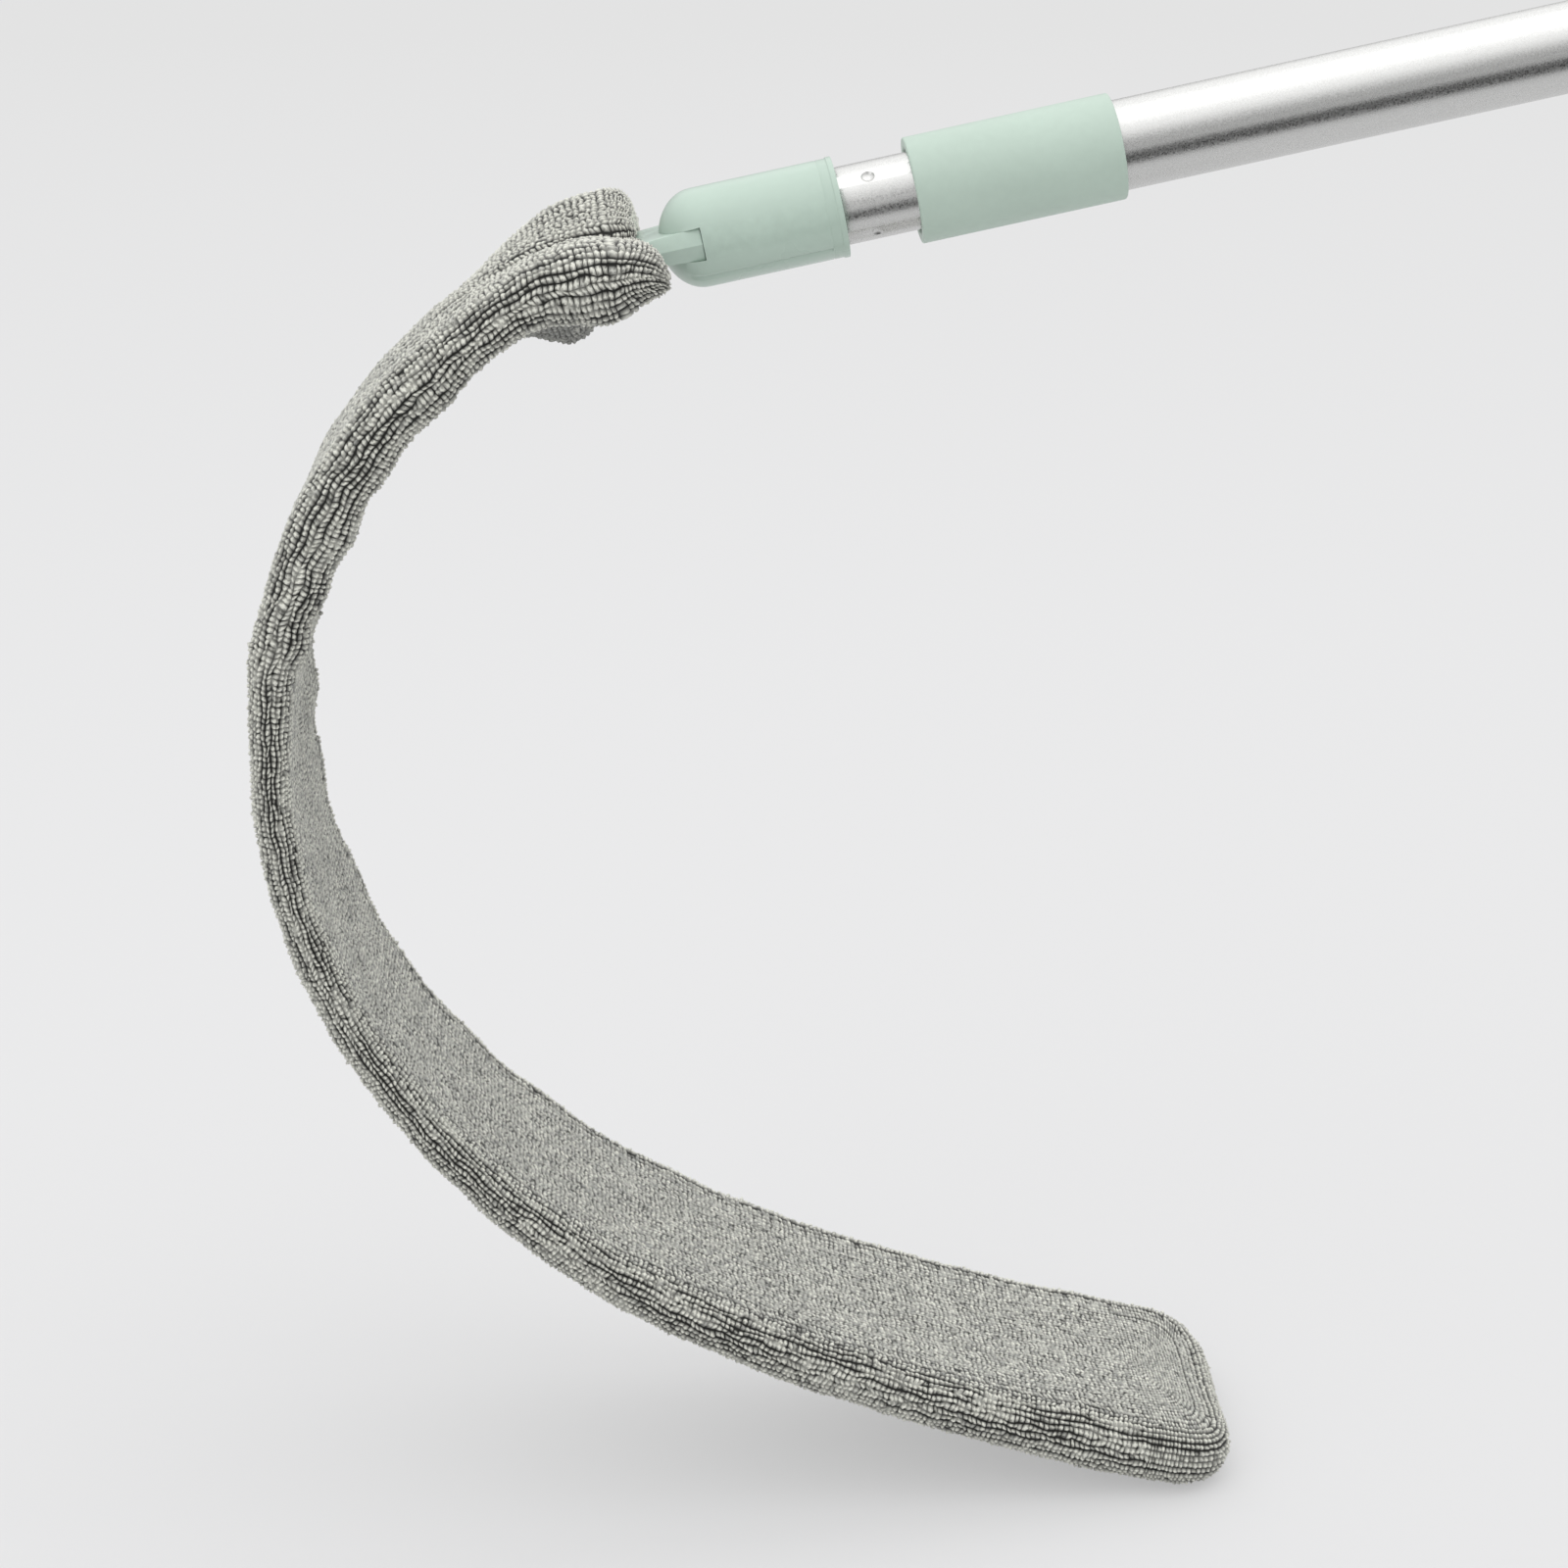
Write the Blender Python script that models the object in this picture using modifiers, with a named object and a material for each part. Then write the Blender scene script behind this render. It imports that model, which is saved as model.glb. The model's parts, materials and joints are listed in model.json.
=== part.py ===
"""Extendable duster: a telescopic twist-lock pole, and a flexible blade in a microfibre sleeve.

The pole rises to the right. The blade is bent in a C, with its tip on the floor at z = 0.
All sizes are in metres.
"""

import math

import bmesh
import bpy
from mathutils import Matrix, Vector

# Clearances
SEAT_GAP = 0.0003
RUNNING_GAP = 0.00015
OVERRUN = 0.003

# Pole tubes, with the pole's zero at the collar's front end and its length measured towards the grip
POLE_TILT = math.radians(11.7)
OUTER_TUBE_RADIUS = 0.011
OUTER_TUBE_WALL = 0.0008
OUTER_TUBE_LENGTH = 0.600
OUTER_TUBE_FRONT = 0.005
TUBE_CLEARANCE = 0.0007
INNER_TUBE_RADIUS = OUTER_TUBE_RADIUS - OUTER_TUBE_WALL - TUBE_CLEARANCE
INNER_TUBE_WALL = 0.0009
BARE_TUBE_LENGTH = 0.018
CLOSED_GAP = 0.0029

# Crimp dimples that hold the plug in the inner tube's front end
DIMPLE_COUNT = 4
DIMPLE_RADIUS = 0.0017
DIMPLE_DEPTH = 0.0005
DIMPLE_TO_CONNECTOR = 0.0076

# Collar over the outer tube's front end, with the bush that guides the inner tube
COLLAR_WALL = 0.0017
COLLAR_RADIUS = OUTER_TUBE_RADIUS + SEAT_GAP + COLLAR_WALL
COLLAR_LENGTH = 0.051
COLLAR_EDGE = 0.0008
COLLAR_LIP_LENGTH = 0.0013
COLLAR_LIP_GAP = 0.0009
COLLAR_FLARE = 0.0005
COLLAR_FLARE_LENGTH = 0.0015

# Connector that the pole screws into, with its domed front
CONNECTOR_WALL = 0.0023
CONNECTOR_RADIUS = INNER_TUBE_RADIUS + SEAT_GAP + CONNECTOR_WALL
CONNECTOR_RIM = 0.00025
CONNECTOR_RIM_LENGTH = 0.0013
CONNECTOR_WEB = 0.0031
DOME_DEPTH = 0.010
SOCKET_DEPTH = 0.022
SOCKET_MOUTH_FLARE = 0.0010

# Plug in the inner tube's front end, with its threaded spigot
PLUG_BACK_LENGTH = 0.0023
PLUG_FLANGE_INSET = 0.0004
PLUG_FLANGE_LENGTH = 0.0015
PLUG_GROOVE_LENGTH = 0.0042
PLUG_GROOVE_DEPTH = 0.0007
SPIGOT_RADIUS = 0.006
SPIGOT_LENGTH = 0.007

# Tongue that carries the blade, seated in a slot across the dome
TONGUE_SIDE_INSET = 0.0001
TONGUE_WIDTH = 2 * (CONNECTOR_RADIUS - TONGUE_SIDE_INSET)
TONGUE_ROOT_THICKNESS = 0.0080
TONGUE_TIP_THICKNESS = 0.0048
TONGUE_SEAT = 0.0102
TONGUE_REACH = 0.016
TONGUE_EDGE = 0.0013

# Twist lock on the inner tube's rear end
LOCK_PLUG_DEPTH = 0.012
LOCK_FLANGE_INSET = 0.0003
LOCK_FLANGE_LENGTH = 0.002
EXPANDER_RADIUS = OUTER_TUBE_RADIUS - OUTER_TUBE_WALL - SEAT_GAP
EXPANDER_WALL = 0.0016
EXPANDER_START = 0.0042
EXPANDER_END_WALL = 0.0045
EXPANDER_SLOT_WIDTH = 0.0016
EXPANDER_SLOT_COUNT = 2
CONE_START = 0.0022
CONE_LENGTH = 0.014
CONE_TAPER = 0.0023
CONE_WALL = 0.0020
CONE_WIDE_RADIUS = EXPANDER_RADIUS - EXPANDER_WALL
CONE_NARROW_RADIUS = CONE_WIDE_RADIUS - CONE_TAPER
STUD_RADIUS = CONE_NARROW_RADIUS - CONE_WALL
STUD_LENGTH = 0.0277
STUD_BORE_DEPTH = 0.012
WASHER_INSET = 0.0024
WASHER_LENGTH = 0.001
SCREW_HEAD_RADIUS = 0.0036
SCREW_HEAD_LENGTH = 0.003
SCREW_SHANK_RADIUS = 0.0015
SCREW_SHANK_LENGTH = 0.0105

# Grip and end cap with its hanging eye
GRIP_LENGTH = 0.126
GRIP_WALL = 0.0025
GRIP_RADIUS = OUTER_TUBE_RADIUS + SEAT_GAP + GRIP_WALL
GRIP_END_LAND = 0.0003
GRIP_EDGE = GRIP_WALL - GRIP_END_LAND
GRIP_SWELL = 0.0007
GRIP_GROOVE_COUNT = 6
GRIP_GROOVE_DEPTH = 0.0006
GRIP_GROOVE_WIDTH = 0.0022
GRIP_GROOVE_PITCH = 0.0075
CAP_OVERHANG = 0.0026
CAP_LENGTH = 0.010
CAP_SPIGOT_LENGTH = 0.0078
EYE_WIDTH = 0.018
EYE_THICKNESS = 0.005
EYE_REACH = 0.014
EYE_HOLE_RADIUS = 0.0045

# Blade: a flat strip that follows a line of arcs, each arc centred on one flexing joint
BLADE_WIDTH = 0.066
BLADE_THICKNESS = 0.0022
BLADE_EDGE = 0.0004
BLADE_ROOT_INSET = 0.003
BLADE_ROOT_WIDTH = TONGUE_WIDTH - 2 * BLADE_ROOT_INSET
BLADE_ROOT_START = 0.0025
SHOULDER_TO_TONGUE = 0.0008
SHOULDER_LENGTH = 0.008
BLADE_TIP_ROUND = 0.024
BLADE_JOINT_GAP = 0.0008
STRAIGHT_LENGTH = 0.013
FIRST_ARC_LENGTH = 0.036
ARC_LENGTH = 0.050
LAST_STRAIGHT_LENGTH = 0.0115
ARC_BENDS = [math.radians(bend) for bend in (22.4, 25.4, 21.2, 20.0, 19.5, 15.3, 12.7, 8.0, 5.2, 6.7)]
BLADE_END = STRAIGHT_LENGTH + FIRST_ARC_LENGTH + ARC_LENGTH * (len(ARC_BENDS) - 1) + LAST_STRAIGHT_LENGTH

# Rivets that fasten the blade's root in the tongue
RIVET_SPACING = 0.010
RIVET_PLACE = 0.0105
RIVET_RADIUS = 0.0015
RIVET_HEAD_RADIUS = 0.0026
RIVET_HEAD_LENGTH = 0.0006

# Microfibre sleeve, with the depth of its pile past the blade's sides and end
SIDE_PILE = 0.007
END_PILE = 0.0095
TIP_ROUND_PILE = 0.006
SLEEVE_WIDTH = BLADE_WIDTH + 2 * SIDE_PILE
SLEEVE_END = BLADE_END + END_PILE
SLEEVE_TIP_ROUND = BLADE_TIP_ROUND + TIP_ROUND_PILE
SLEEVE_THICKNESS = 0.0125
SLEEVE_JOINT_GAP = 0.0004
SLEEVE_CAVITY_GAP = 0.00035
MOUTH_START = 0.0048
MOUTH_SKEW = 0.0022
MOUTH_LIFT = 0.0018
MOUTH_CLEARANCE = 0.0005
FUNNEL_OVER_TONGUE = 0.001
FUNNEL_LENGTH = 0.0075

# Places along the sleeve as shares of its length, and the thickness there as shares of the sleeve's
THICKNESS_SHARES = (
    (0.0, 1.05), (0.15, 1.04), (0.35, 0.96), (0.6, 1.02), (0.8, 1.2), (0.92, 1.38), (1.0, 1.3),
)
# The gathered mouth: places as shares of the mouth piece, then shares of the full thickness and lift
MOUTH_SHARES = (
    (0.0, 0.98, 0.0), (0.1, 1.18, 0.35), (0.35, 1.42, 0.9), (0.62, 1.38, 1.0), (0.85, 1.16, 0.4),
    (1.0, 1.05, 0.0),
)
# Rings of a rounded tip as shares of the rounding's length
TIP_RING_SHARES = (0.0, 0.3, 0.55, 0.75, 0.88, 0.96, 0.992)
TIP_WIDTH_POWER = 2.3
TIP_THICKNESS_POWER = 3.2

# Facets
TURN_SIDES = 36
SMALL_TURN_SIDES = 16
DIMPLE_SEGMENTS = 12
DIMPLE_RINGS = 8
EDGE_STEPS = 3
DOME_STEPS = 8
ARC_RINGS = 5
SLEEVE_FLAT_STEPS = 4
SLEEVE_ROUND_STEPS = 6
SHARP_ANGLE = math.radians(35)
MERGE_DISTANCE = 0.00001

# Places along the pole that other pieces share
CONNECTOR_MOUTH = -BARE_TUBE_LENGTH
INNER_TUBE_FRONT = CONNECTOR_MOUTH - SOCKET_DEPTH
PLUG_FLANGE_FRONT = INNER_TUBE_FRONT - SEAT_GAP - PLUG_FLANGE_LENGTH
THREAD_FLOOR = PLUG_FLANGE_FRONT - SPIGOT_LENGTH - 2 * SEAT_GAP
SLOT_FLOOR = THREAD_FLOOR - CONNECTOR_WEB
DOME_END = SLOT_FLOOR - SEAT_GAP - TONGUE_SEAT
OUTER_TUBE_REAR = OUTER_TUBE_FRONT + OUTER_TUBE_LENGTH
CAP_SPIGOT_END = OUTER_TUBE_REAR + SEAT_GAP - CAP_SPIGOT_LENGTH
SCREW_SEAT = CAP_SPIGOT_END - CLOSED_GAP - SCREW_HEAD_LENGTH
WASHER_REAR = SCREW_SEAT - SEAT_GAP
STUD_END = WASHER_REAR - WASHER_LENGTH - SEAT_GAP
LOCK_FLANGE_END = STUD_END - STUD_LENGTH
INNER_TUBE_REAR = LOCK_FLANGE_END - LOCK_FLANGE_LENGTH - SEAT_GAP

# Places along the blade's line, from the dome's end, that other pieces share
SHOULDER_START = TONGUE_REACH + SHOULDER_TO_TONGUE
FUNNEL_START = TONGUE_REACH - FUNNEL_OVER_TONGUE

# Colours, roughness and metallic value of each material
FINISHES = {
    "mint_plastic": ((0.37, 0.52, 0.43), 0.42, 0.0),
    "connector_plastic": ((0.40, 0.56, 0.46), 0.28, 0.0),
    "pole_aluminium": ((0.72, 0.72, 0.71), 0.36, 1.0),
    "lock_plastic": ((0.75, 0.75, 0.73), 0.45, 0.0),
    "blade_plastic": ((0.30, 0.31, 0.30), 0.5, 0.0),
    "steel": ((0.6, 0.6, 0.6), 0.3, 1.0),
    "microfibre": ((0.36, 0.37, 0.34), 0.95, 0.0),
}


def clear_scene():
    for obj in list(bpy.data.objects):
        bpy.data.objects.remove(obj, do_unlink=True)


def new_collection(name):
    collection = bpy.data.collections.new(name)
    bpy.context.scene.collection.children.link(collection)
    return collection


def new_material(name):
    colour, roughness, metallic = FINISHES[name]
    material = bpy.data.materials.new(name)
    material.use_nodes = True
    shader = material.node_tree.nodes["Principled BSDF"]
    shader.inputs["Base Color"].default_value = (*colour, 1.0)
    shader.inputs["Roughness"].default_value = roughness
    shader.inputs["Metallic"].default_value = metallic
    material.diffuse_color = (*colour, 1.0)
    return material


def finish_piece(obj, material, parent):
    """Puts an object in the duster's collection, under its frame and with its material."""
    PIECES.objects.link(obj)
    obj.parent = parent
    obj.data.materials.append(MATERIALS[material])
    obj.data.shade_smooth()
    obj.data.set_sharp_from_angle(angle=SHARP_ANGLE)
    return obj


def new_frame(name, parent, location=(0.0, 0.0, 0.0), turn=0.0):
    """An empty that carries pieces. On the pole its Z runs towards the grip and its X points down."""
    frame = bpy.data.objects.new(name, None)
    PIECES.objects.link(frame)
    frame.parent = parent
    frame.location = location
    frame.rotation_euler = (0.0, turn, 0.0)
    return frame


def add_screw(obj, sides):
    screw = obj.modifiers.new("turn", "SCREW")
    screw.axis = "Z"
    screw.steps = screw.render_steps = sides
    screw.use_merge_vertices = True
    screw.merge_threshold = MERGE_DISTANCE
    screw.use_smooth_shade = True


def turned(name, profile, material, parent, sides=TURN_SIDES):
    """Turns a profile of (radius, place) points about Z, closed where it stays off the axis."""
    points = [Vector((radius, 0.0, place)) for radius, place in profile]
    closed = min(radius for radius, _ in profile) > 0.0
    edges = [(i, i + 1) for i in range(len(points) - 1)]
    if closed:
        edges.append((len(points) - 1, 0))
    mesh = bpy.data.meshes.new(name)
    mesh.from_pydata(points, edges, [])
    obj = finish_piece(bpy.data.objects.new(name, mesh), material, parent)
    add_screw(obj, sides)
    return obj


def rounded_corner(radius, place, edge_radius, edge_length, start, end, steps=EDGE_STEPS):
    """Points of an ellipse about (radius, place), between two angles in quarter turns."""
    angles = [math.pi / 2 * (start + (end - start) * i / steps) for i in range(steps + 1)]
    return [(radius + edge_radius * math.cos(a), place + edge_length * math.sin(a)) for a in angles]


def hide_helper(obj, parent):
    HELPERS.objects.link(obj)
    obj.parent = parent
    obj.hide_render = True
    obj.display_type = "WIRE"
    return obj


def mesh_object(name, bm):
    mesh = bpy.data.meshes.new(name)
    bm.to_mesh(mesh)
    bm.free()
    return bpy.data.objects.new(name, mesh)


def box_helper(name, size, centre, parent):
    bm = bmesh.new()
    place = Matrix.Translation(centre) @ Matrix.Diagonal((*size, 1.0))
    bmesh.ops.create_cube(bm, size=1.0, matrix=place)
    return hide_helper(mesh_object(name, bm), parent)


def rod_helper(name, radius, length, centre, axis, parent, sides=SMALL_TURN_SIDES):
    """A round bar centred at a point, along the frame's X or Y."""
    turn = Matrix.Rotation(math.pi / 2, 4, "Y" if axis == "X" else "X")
    bm = bmesh.new()
    bmesh.ops.create_cone(
        bm, cap_ends=True, segments=sides, radius1=radius, radius2=radius, depth=length,
        matrix=Matrix.Translation(centre) @ turn,
    )
    return hide_helper(mesh_object(name, bm), parent)


def combine(obj, helper, operation):
    boolean = obj.modifiers.new(helper.name, "BOOLEAN")
    boolean.operation = operation
    boolean.solver = "EXACT"
    boolean.object = helper


def cut(obj, helper):
    combine(obj, helper, "DIFFERENCE")


def loft(name, rings, closed, origin, material, parent):
    """Skins rings of points. A closed loft joins the last ring to the first, an open one is capped."""
    bm = bmesh.new()
    rows = [[bm.verts.new(Vector(point) - origin) for point in ring] for ring in rings]
    pairs = list(zip(rows, rows[1:]))
    if closed:
        pairs.append((rows[-1], rows[0]))
    count = len(rows[0])
    for low, high in pairs:
        for i in range(count):
            j = (i + 1) % count
            bm.faces.new((low[i], low[j], high[j], high[i]))
    if not closed:
        bm.faces.new(rows[0])
        bm.faces.new(rows[-1])
    bmesh.ops.recalc_face_normals(bm, faces=bm.faces)
    return finish_piece(mesh_object(name, bm), material, parent)


def mix(low, high, share):
    return low + (high - low) * share


def smooth_table(table, share, column=1):
    """Reads a column of a table of shares, easing between its rows."""
    for low, high in zip(table, table[1:]):
        if share <= high[0]:
            step = max(0.0, (share - low[0]) / (high[0] - low[0]))
            return mix(low[column], high[column], step * step * (3 - 2 * step))
    return table[-1][column]


# The blade's line


def arc_starts():
    """Where each arc starts along the line, and the line's straight end after the last one."""
    starts = [STRAIGHT_LENGTH, STRAIGHT_LENGTH + FIRST_ARC_LENGTH]
    while len(starts) <= len(ARC_BENDS):
        starts.append(starts[-1] + ARC_LENGTH)
    return starts


def joint_places():
    """Distance along the line of each flexing joint, in the middle of its arc."""
    starts = arc_starts()
    return [(low + high) / 2 for low, high in zip(starts, starts[1:])]


def line_frame(place):
    """Point, heading and outward direction of the blade's line, in the pole's frame.

    The line leaves the dome's end along the pole, and each arc turns it further down and back.
    """
    starts = arc_starts()
    x, z, turn = 0.0, DOME_END - min(place, starts[0]), 0.0
    for start, end, bend in zip(starts, starts[1:], ARC_BENDS):
        run = min(place, end) - start
        if run <= 0.0:
            break
        radius = (end - start) / bend
        next_turn = turn + run / radius
        x += radius * (math.cos(turn) - math.cos(next_turn))
        z -= radius * (math.sin(next_turn) - math.sin(turn))
        turn = next_turn
    run = max(0.0, place - starts[-1])
    heading = Vector((math.sin(turn), 0.0, -math.cos(turn)))
    outward = Vector((-math.cos(turn), 0.0, -math.sin(turn)))
    return Vector((x, 0.0, z)) + heading * run, heading, outward


def strip_section(half_width, half_thickness, edge):
    """A flat strip's section as (across, outward) points, with its four corners cut."""
    w, t = half_width, half_thickness
    return [(-w + edge, -t), (w - edge, -t), (w, -t + edge), (w, t - edge),
            (w - edge, t), (-w + edge, t), (-w, t - edge), (-w, -t + edge)]


def sleeve_section(half_width, half_thickness):
    """A flattened tube's section: flat faces and round edges."""
    bend = min(half_thickness, half_width)
    points = []
    for side in (1, -1):
        for i in range(SLEEVE_ROUND_STEPS):
            angle = -math.pi / 2 + math.pi * i / SLEEVE_ROUND_STEPS
            across = half_width - bend + bend * math.cos(angle)
            points.append((side * across, side * half_thickness * math.sin(angle)))
        for i in range(SLEEVE_FLAT_STEPS):
            across = mix(half_width - bend, bend - half_width, i / SLEEVE_FLAT_STEPS)
            points.append((side * across, side * half_thickness))
    return points


def place_ring(place, section, lift=0.0, skew=0.0):
    """Lays a section across the blade's line. The skew carries its far side along the line."""
    point, heading, outward = line_frame(place)
    half = max(abs(across) for across, _ in section)
    return [
        point + Vector((0.0, across, 0.0)) + outward * (out + lift) + heading * (skew * across / half)
        for across, out in section
    ]


def tip_shape(place, end, rounding):
    """Shares of the full width and thickness that are left at a place inside a rounded tip."""
    share = min(max((place - end + rounding) / rounding, 0.0), 1.0)
    width = (1 - share**TIP_WIDTH_POWER) ** (1 / TIP_WIDTH_POWER)
    thickness = (1 - share**TIP_THICKNESS_POWER) ** (1 / TIP_THICKNESS_POWER)
    return width, thickness


def spread(low, high, count):
    return [mix(low, high, i / count) for i in range(count + 1)]


def tip_places(low, end, rounding):
    """Ring places from a joint to a rounded tip."""
    body = spread(low, end - rounding, ARC_RINGS)[:-1]
    return body + [end - rounding + share * rounding for share in TIP_RING_SHARES]


def blade_ring(place):
    shoulder = min(max((place - SHOULDER_START) / SHOULDER_LENGTH, 0.0), 1.0)
    width = mix(BLADE_ROOT_WIDTH, BLADE_WIDTH, shoulder * shoulder * (3 - 2 * shoulder))
    width *= tip_shape(place, BLADE_END, BLADE_TIP_ROUND)[0]
    return place_ring(place, strip_section(width / 2, BLADE_THICKNESS / 2, BLADE_EDGE))


def sleeve_ring(place):
    width, thickness = tip_shape(place, SLEEVE_END, SLEEVE_TIP_ROUND)
    thickness *= smooth_table(THICKNESS_SHARES, place / SLEEVE_END)
    return place_ring(place, sleeve_section(SLEEVE_WIDTH * width / 2, SLEEVE_THICKNESS * thickness / 2))


def cavity_ring(place, half_opening=None, skew=0.0):
    """The space round the blade inside the sleeve."""
    width = BLADE_WIDTH * tip_shape(place - SLEEVE_CAVITY_GAP, BLADE_END, BLADE_TIP_ROUND)[0]
    half = half_opening or BLADE_THICKNESS / 2 + SLEEVE_CAVITY_GAP
    return place_ring(place, sleeve_section(width / 2 + SLEEVE_CAVITY_GAP, half), skew=skew)


def mouth_outer_ring(share, end):
    """A ring of the gathered mouth, from its rim at share 0 to its joint at share 1."""
    place = mix(MOUTH_START, end, share)
    half = SLEEVE_THICKNESS * smooth_table(MOUTH_SHARES, share) / 2
    lift = MOUTH_LIFT * smooth_table(MOUTH_SHARES, share, 2)
    return place_ring(place, sleeve_section(SLEEVE_WIDTH / 2, half), lift, MOUTH_SKEW * (1 - share))


def mouth_rings(end):
    """Rings of the mouth piece: along its outside, and back through the funnel round the tongue."""
    outside = [mouth_outer_ring(share, end) for share in spread(0.0, 1.0, ARC_RINGS + 2)]
    inside = []
    half_opening = rivet_seat() + RIVET_HEAD_LENGTH + MOUTH_CLEARANCE
    for place in (MOUTH_START, FUNNEL_START, FUNNEL_START + FUNNEL_LENGTH, end):
        share = min(max((place - FUNNEL_START) / FUNNEL_LENGTH, 0.0), 1.0)
        opening = mix(half_opening, BLADE_THICKNESS / 2 + SLEEVE_CAVITY_GAP, share)
        inside.append(cavity_ring(place, opening, MOUTH_SKEW * (1 - place / end)))
    lip_half = mix(half_opening, SLEEVE_THICKNESS * MOUTH_SHARES[0][1] / 2, 0.5)
    lip_width = mix(BLADE_WIDTH, SLEEVE_WIDTH, 0.5)
    lip_place = MOUTH_START - (SLEEVE_THICKNESS / 2 - half_opening) / 2
    lip = place_ring(lip_place, sleeve_section(lip_width / 2, lip_half), skew=MOUTH_SKEW)
    return [lip] + outside + inside[::-1]


# Pole pieces


def ring_profile(outer, inner, low, high):
    """A plain tube's profile, down its outside and up its bore."""
    return [(outer, high), (outer, low), (inner, low), (inner, high)]


def build_tubes(handle, head):
    outer_bore = OUTER_TUBE_RADIUS - OUTER_TUBE_WALL
    inner_bore = INNER_TUBE_RADIUS - INNER_TUBE_WALL
    outer = ring_profile(OUTER_TUBE_RADIUS, outer_bore, OUTER_TUBE_FRONT, OUTER_TUBE_REAR)
    inner = ring_profile(INNER_TUBE_RADIUS, inner_bore, INNER_TUBE_FRONT, INNER_TUBE_REAR)
    turned("outer_tube", outer, "pole_aluminium", handle)
    tube = turned("inner_tube", inner, "pole_aluminium", head)
    reach = INNER_TUBE_RADIUS + DIMPLE_RADIUS - DIMPLE_DEPTH
    for i in range(DIMPLE_COUNT):
        angle = 2 * math.pi * (i + 0.5) / DIMPLE_COUNT
        across, down = reach * math.sin(angle), reach * math.cos(angle)
        place = Matrix.Translation((down, across, CONNECTOR_MOUTH + DIMPLE_TO_CONNECTOR))
        bm = bmesh.new()
        bmesh.ops.create_uvsphere(
            bm, u_segments=DIMPLE_SEGMENTS, v_segments=DIMPLE_RINGS, radius=DIMPLE_RADIUS, matrix=place
        )
        cut(tube, hide_helper(mesh_object(f"dimple_cutter_{i + 1}", bm), head))


def build_collar(handle):
    lip_bore = INNER_TUBE_RADIUS + COLLAR_LIP_GAP
    bore = OUTER_TUBE_RADIUS + SEAT_GAP
    flare_start = COLLAR_LENGTH - COLLAR_FLARE_LENGTH
    inset = COLLAR_RADIUS - COLLAR_EDGE
    outside = rounded_corner(inset, COLLAR_LENGTH - COLLAR_EDGE, COLLAR_EDGE, COLLAR_EDGE, 1, 0)
    outside += rounded_corner(inset, COLLAR_EDGE, COLLAR_EDGE, COLLAR_EDGE, 0, -1)
    inside = [(lip_bore, 0.0), (lip_bore, COLLAR_LIP_LENGTH), (bore, COLLAR_LIP_LENGTH),
              (bore, flare_start), (bore + COLLAR_FLARE, COLLAR_LENGTH)]
    turned("front_collar", outside + inside, "mint_plastic", handle)
    bush = ring_profile(OUTER_TUBE_RADIUS, INNER_TUBE_RADIUS + RUNNING_GAP,
                        COLLAR_LIP_LENGTH + SEAT_GAP, OUTER_TUBE_FRONT - SEAT_GAP)
    turned("mouth_bush", bush, "lock_plastic", handle)


def build_connector(head):
    """The socket's outside with its rim and dome, then its bores, and the slot across the dome."""
    rim = CONNECTOR_RADIUS + CONNECTOR_RIM
    rim_end = CONNECTOR_MOUTH - CONNECTOR_RIM_LENGTH
    dome_start = DOME_END + DOME_DEPTH
    bore = INNER_TUBE_RADIUS + SEAT_GAP
    floor = PLUG_FLANGE_FRONT - SEAT_GAP
    thread = SPIGOT_RADIUS + SEAT_GAP
    mouth = (rim - CONNECTOR_RIM, CONNECTOR_MOUTH)
    profile = [mouth, (rim, CONNECTOR_MOUTH - CONNECTOR_RIM), (rim, rim_end),
               (CONNECTOR_RADIUS, rim_end - CONNECTOR_RIM)]
    profile += rounded_corner(0.0, dome_start, CONNECTOR_RADIUS, DOME_DEPTH, 0, -1, DOME_STEPS)[:-1]
    profile += [(0.0, DOME_END), (0.0, THREAD_FLOOR), (thread, THREAD_FLOOR), (thread, floor),
                (bore, floor), (bore, CONNECTOR_MOUTH - SOCKET_MOUTH_FLARE),
                (bore + SOCKET_MOUTH_FLARE, CONNECTOR_MOUTH), mouth]
    connector = turned("connector", profile, "connector_plastic", head)
    slot_end = DOME_END - OVERRUN
    slot_width = 2 * (CONNECTOR_RADIUS + OVERRUN)
    slot_size = (TONGUE_ROOT_THICKNESS + 2 * SEAT_GAP, slot_width, SLOT_FLOOR - slot_end)
    slot = box_helper("tongue_slot_cutter", slot_size, (0.0, 0.0, (SLOT_FLOOR + slot_end) / 2), head)
    cut(connector, slot)


def build_tip_plug(head):
    radius = INNER_TUBE_RADIUS - INNER_TUBE_WALL - SEAT_GAP
    groove = radius - PLUG_GROOVE_DEPTH
    groove_middle = CONNECTOR_MOUTH + DIMPLE_TO_CONNECTOR
    groove_high = groove_middle + PLUG_GROOVE_LENGTH / 2
    groove_low = groove_middle - PLUG_GROOVE_LENGTH / 2
    back = groove_high + PLUG_BACK_LENGTH
    flange = INNER_TUBE_RADIUS - PLUG_FLANGE_INSET
    flange_back = PLUG_FLANGE_FRONT + PLUG_FLANGE_LENGTH
    spigot_end = PLUG_FLANGE_FRONT - SPIGOT_LENGTH
    profile = [(0.0, back), (radius, back), (radius, groove_high), (groove, groove_high),
               (groove, groove_low), (radius, groove_low), (radius, flange_back),
               (flange, flange_back), (flange, PLUG_FLANGE_FRONT),
               (SPIGOT_RADIUS, PLUG_FLANGE_FRONT), (SPIGOT_RADIUS, spigot_end), (0.0, spigot_end)]
    turned("tip_plug", profile, "lock_plastic", head)


def tongue_thickness(place):
    """Thickness of the tapered tongue at a distance past the dome's end."""
    share = (place + TONGUE_SEAT) / (TONGUE_REACH + TONGUE_SEAT)
    return mix(TONGUE_ROOT_THICKNESS, TONGUE_TIP_THICKNESS, share)


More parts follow.
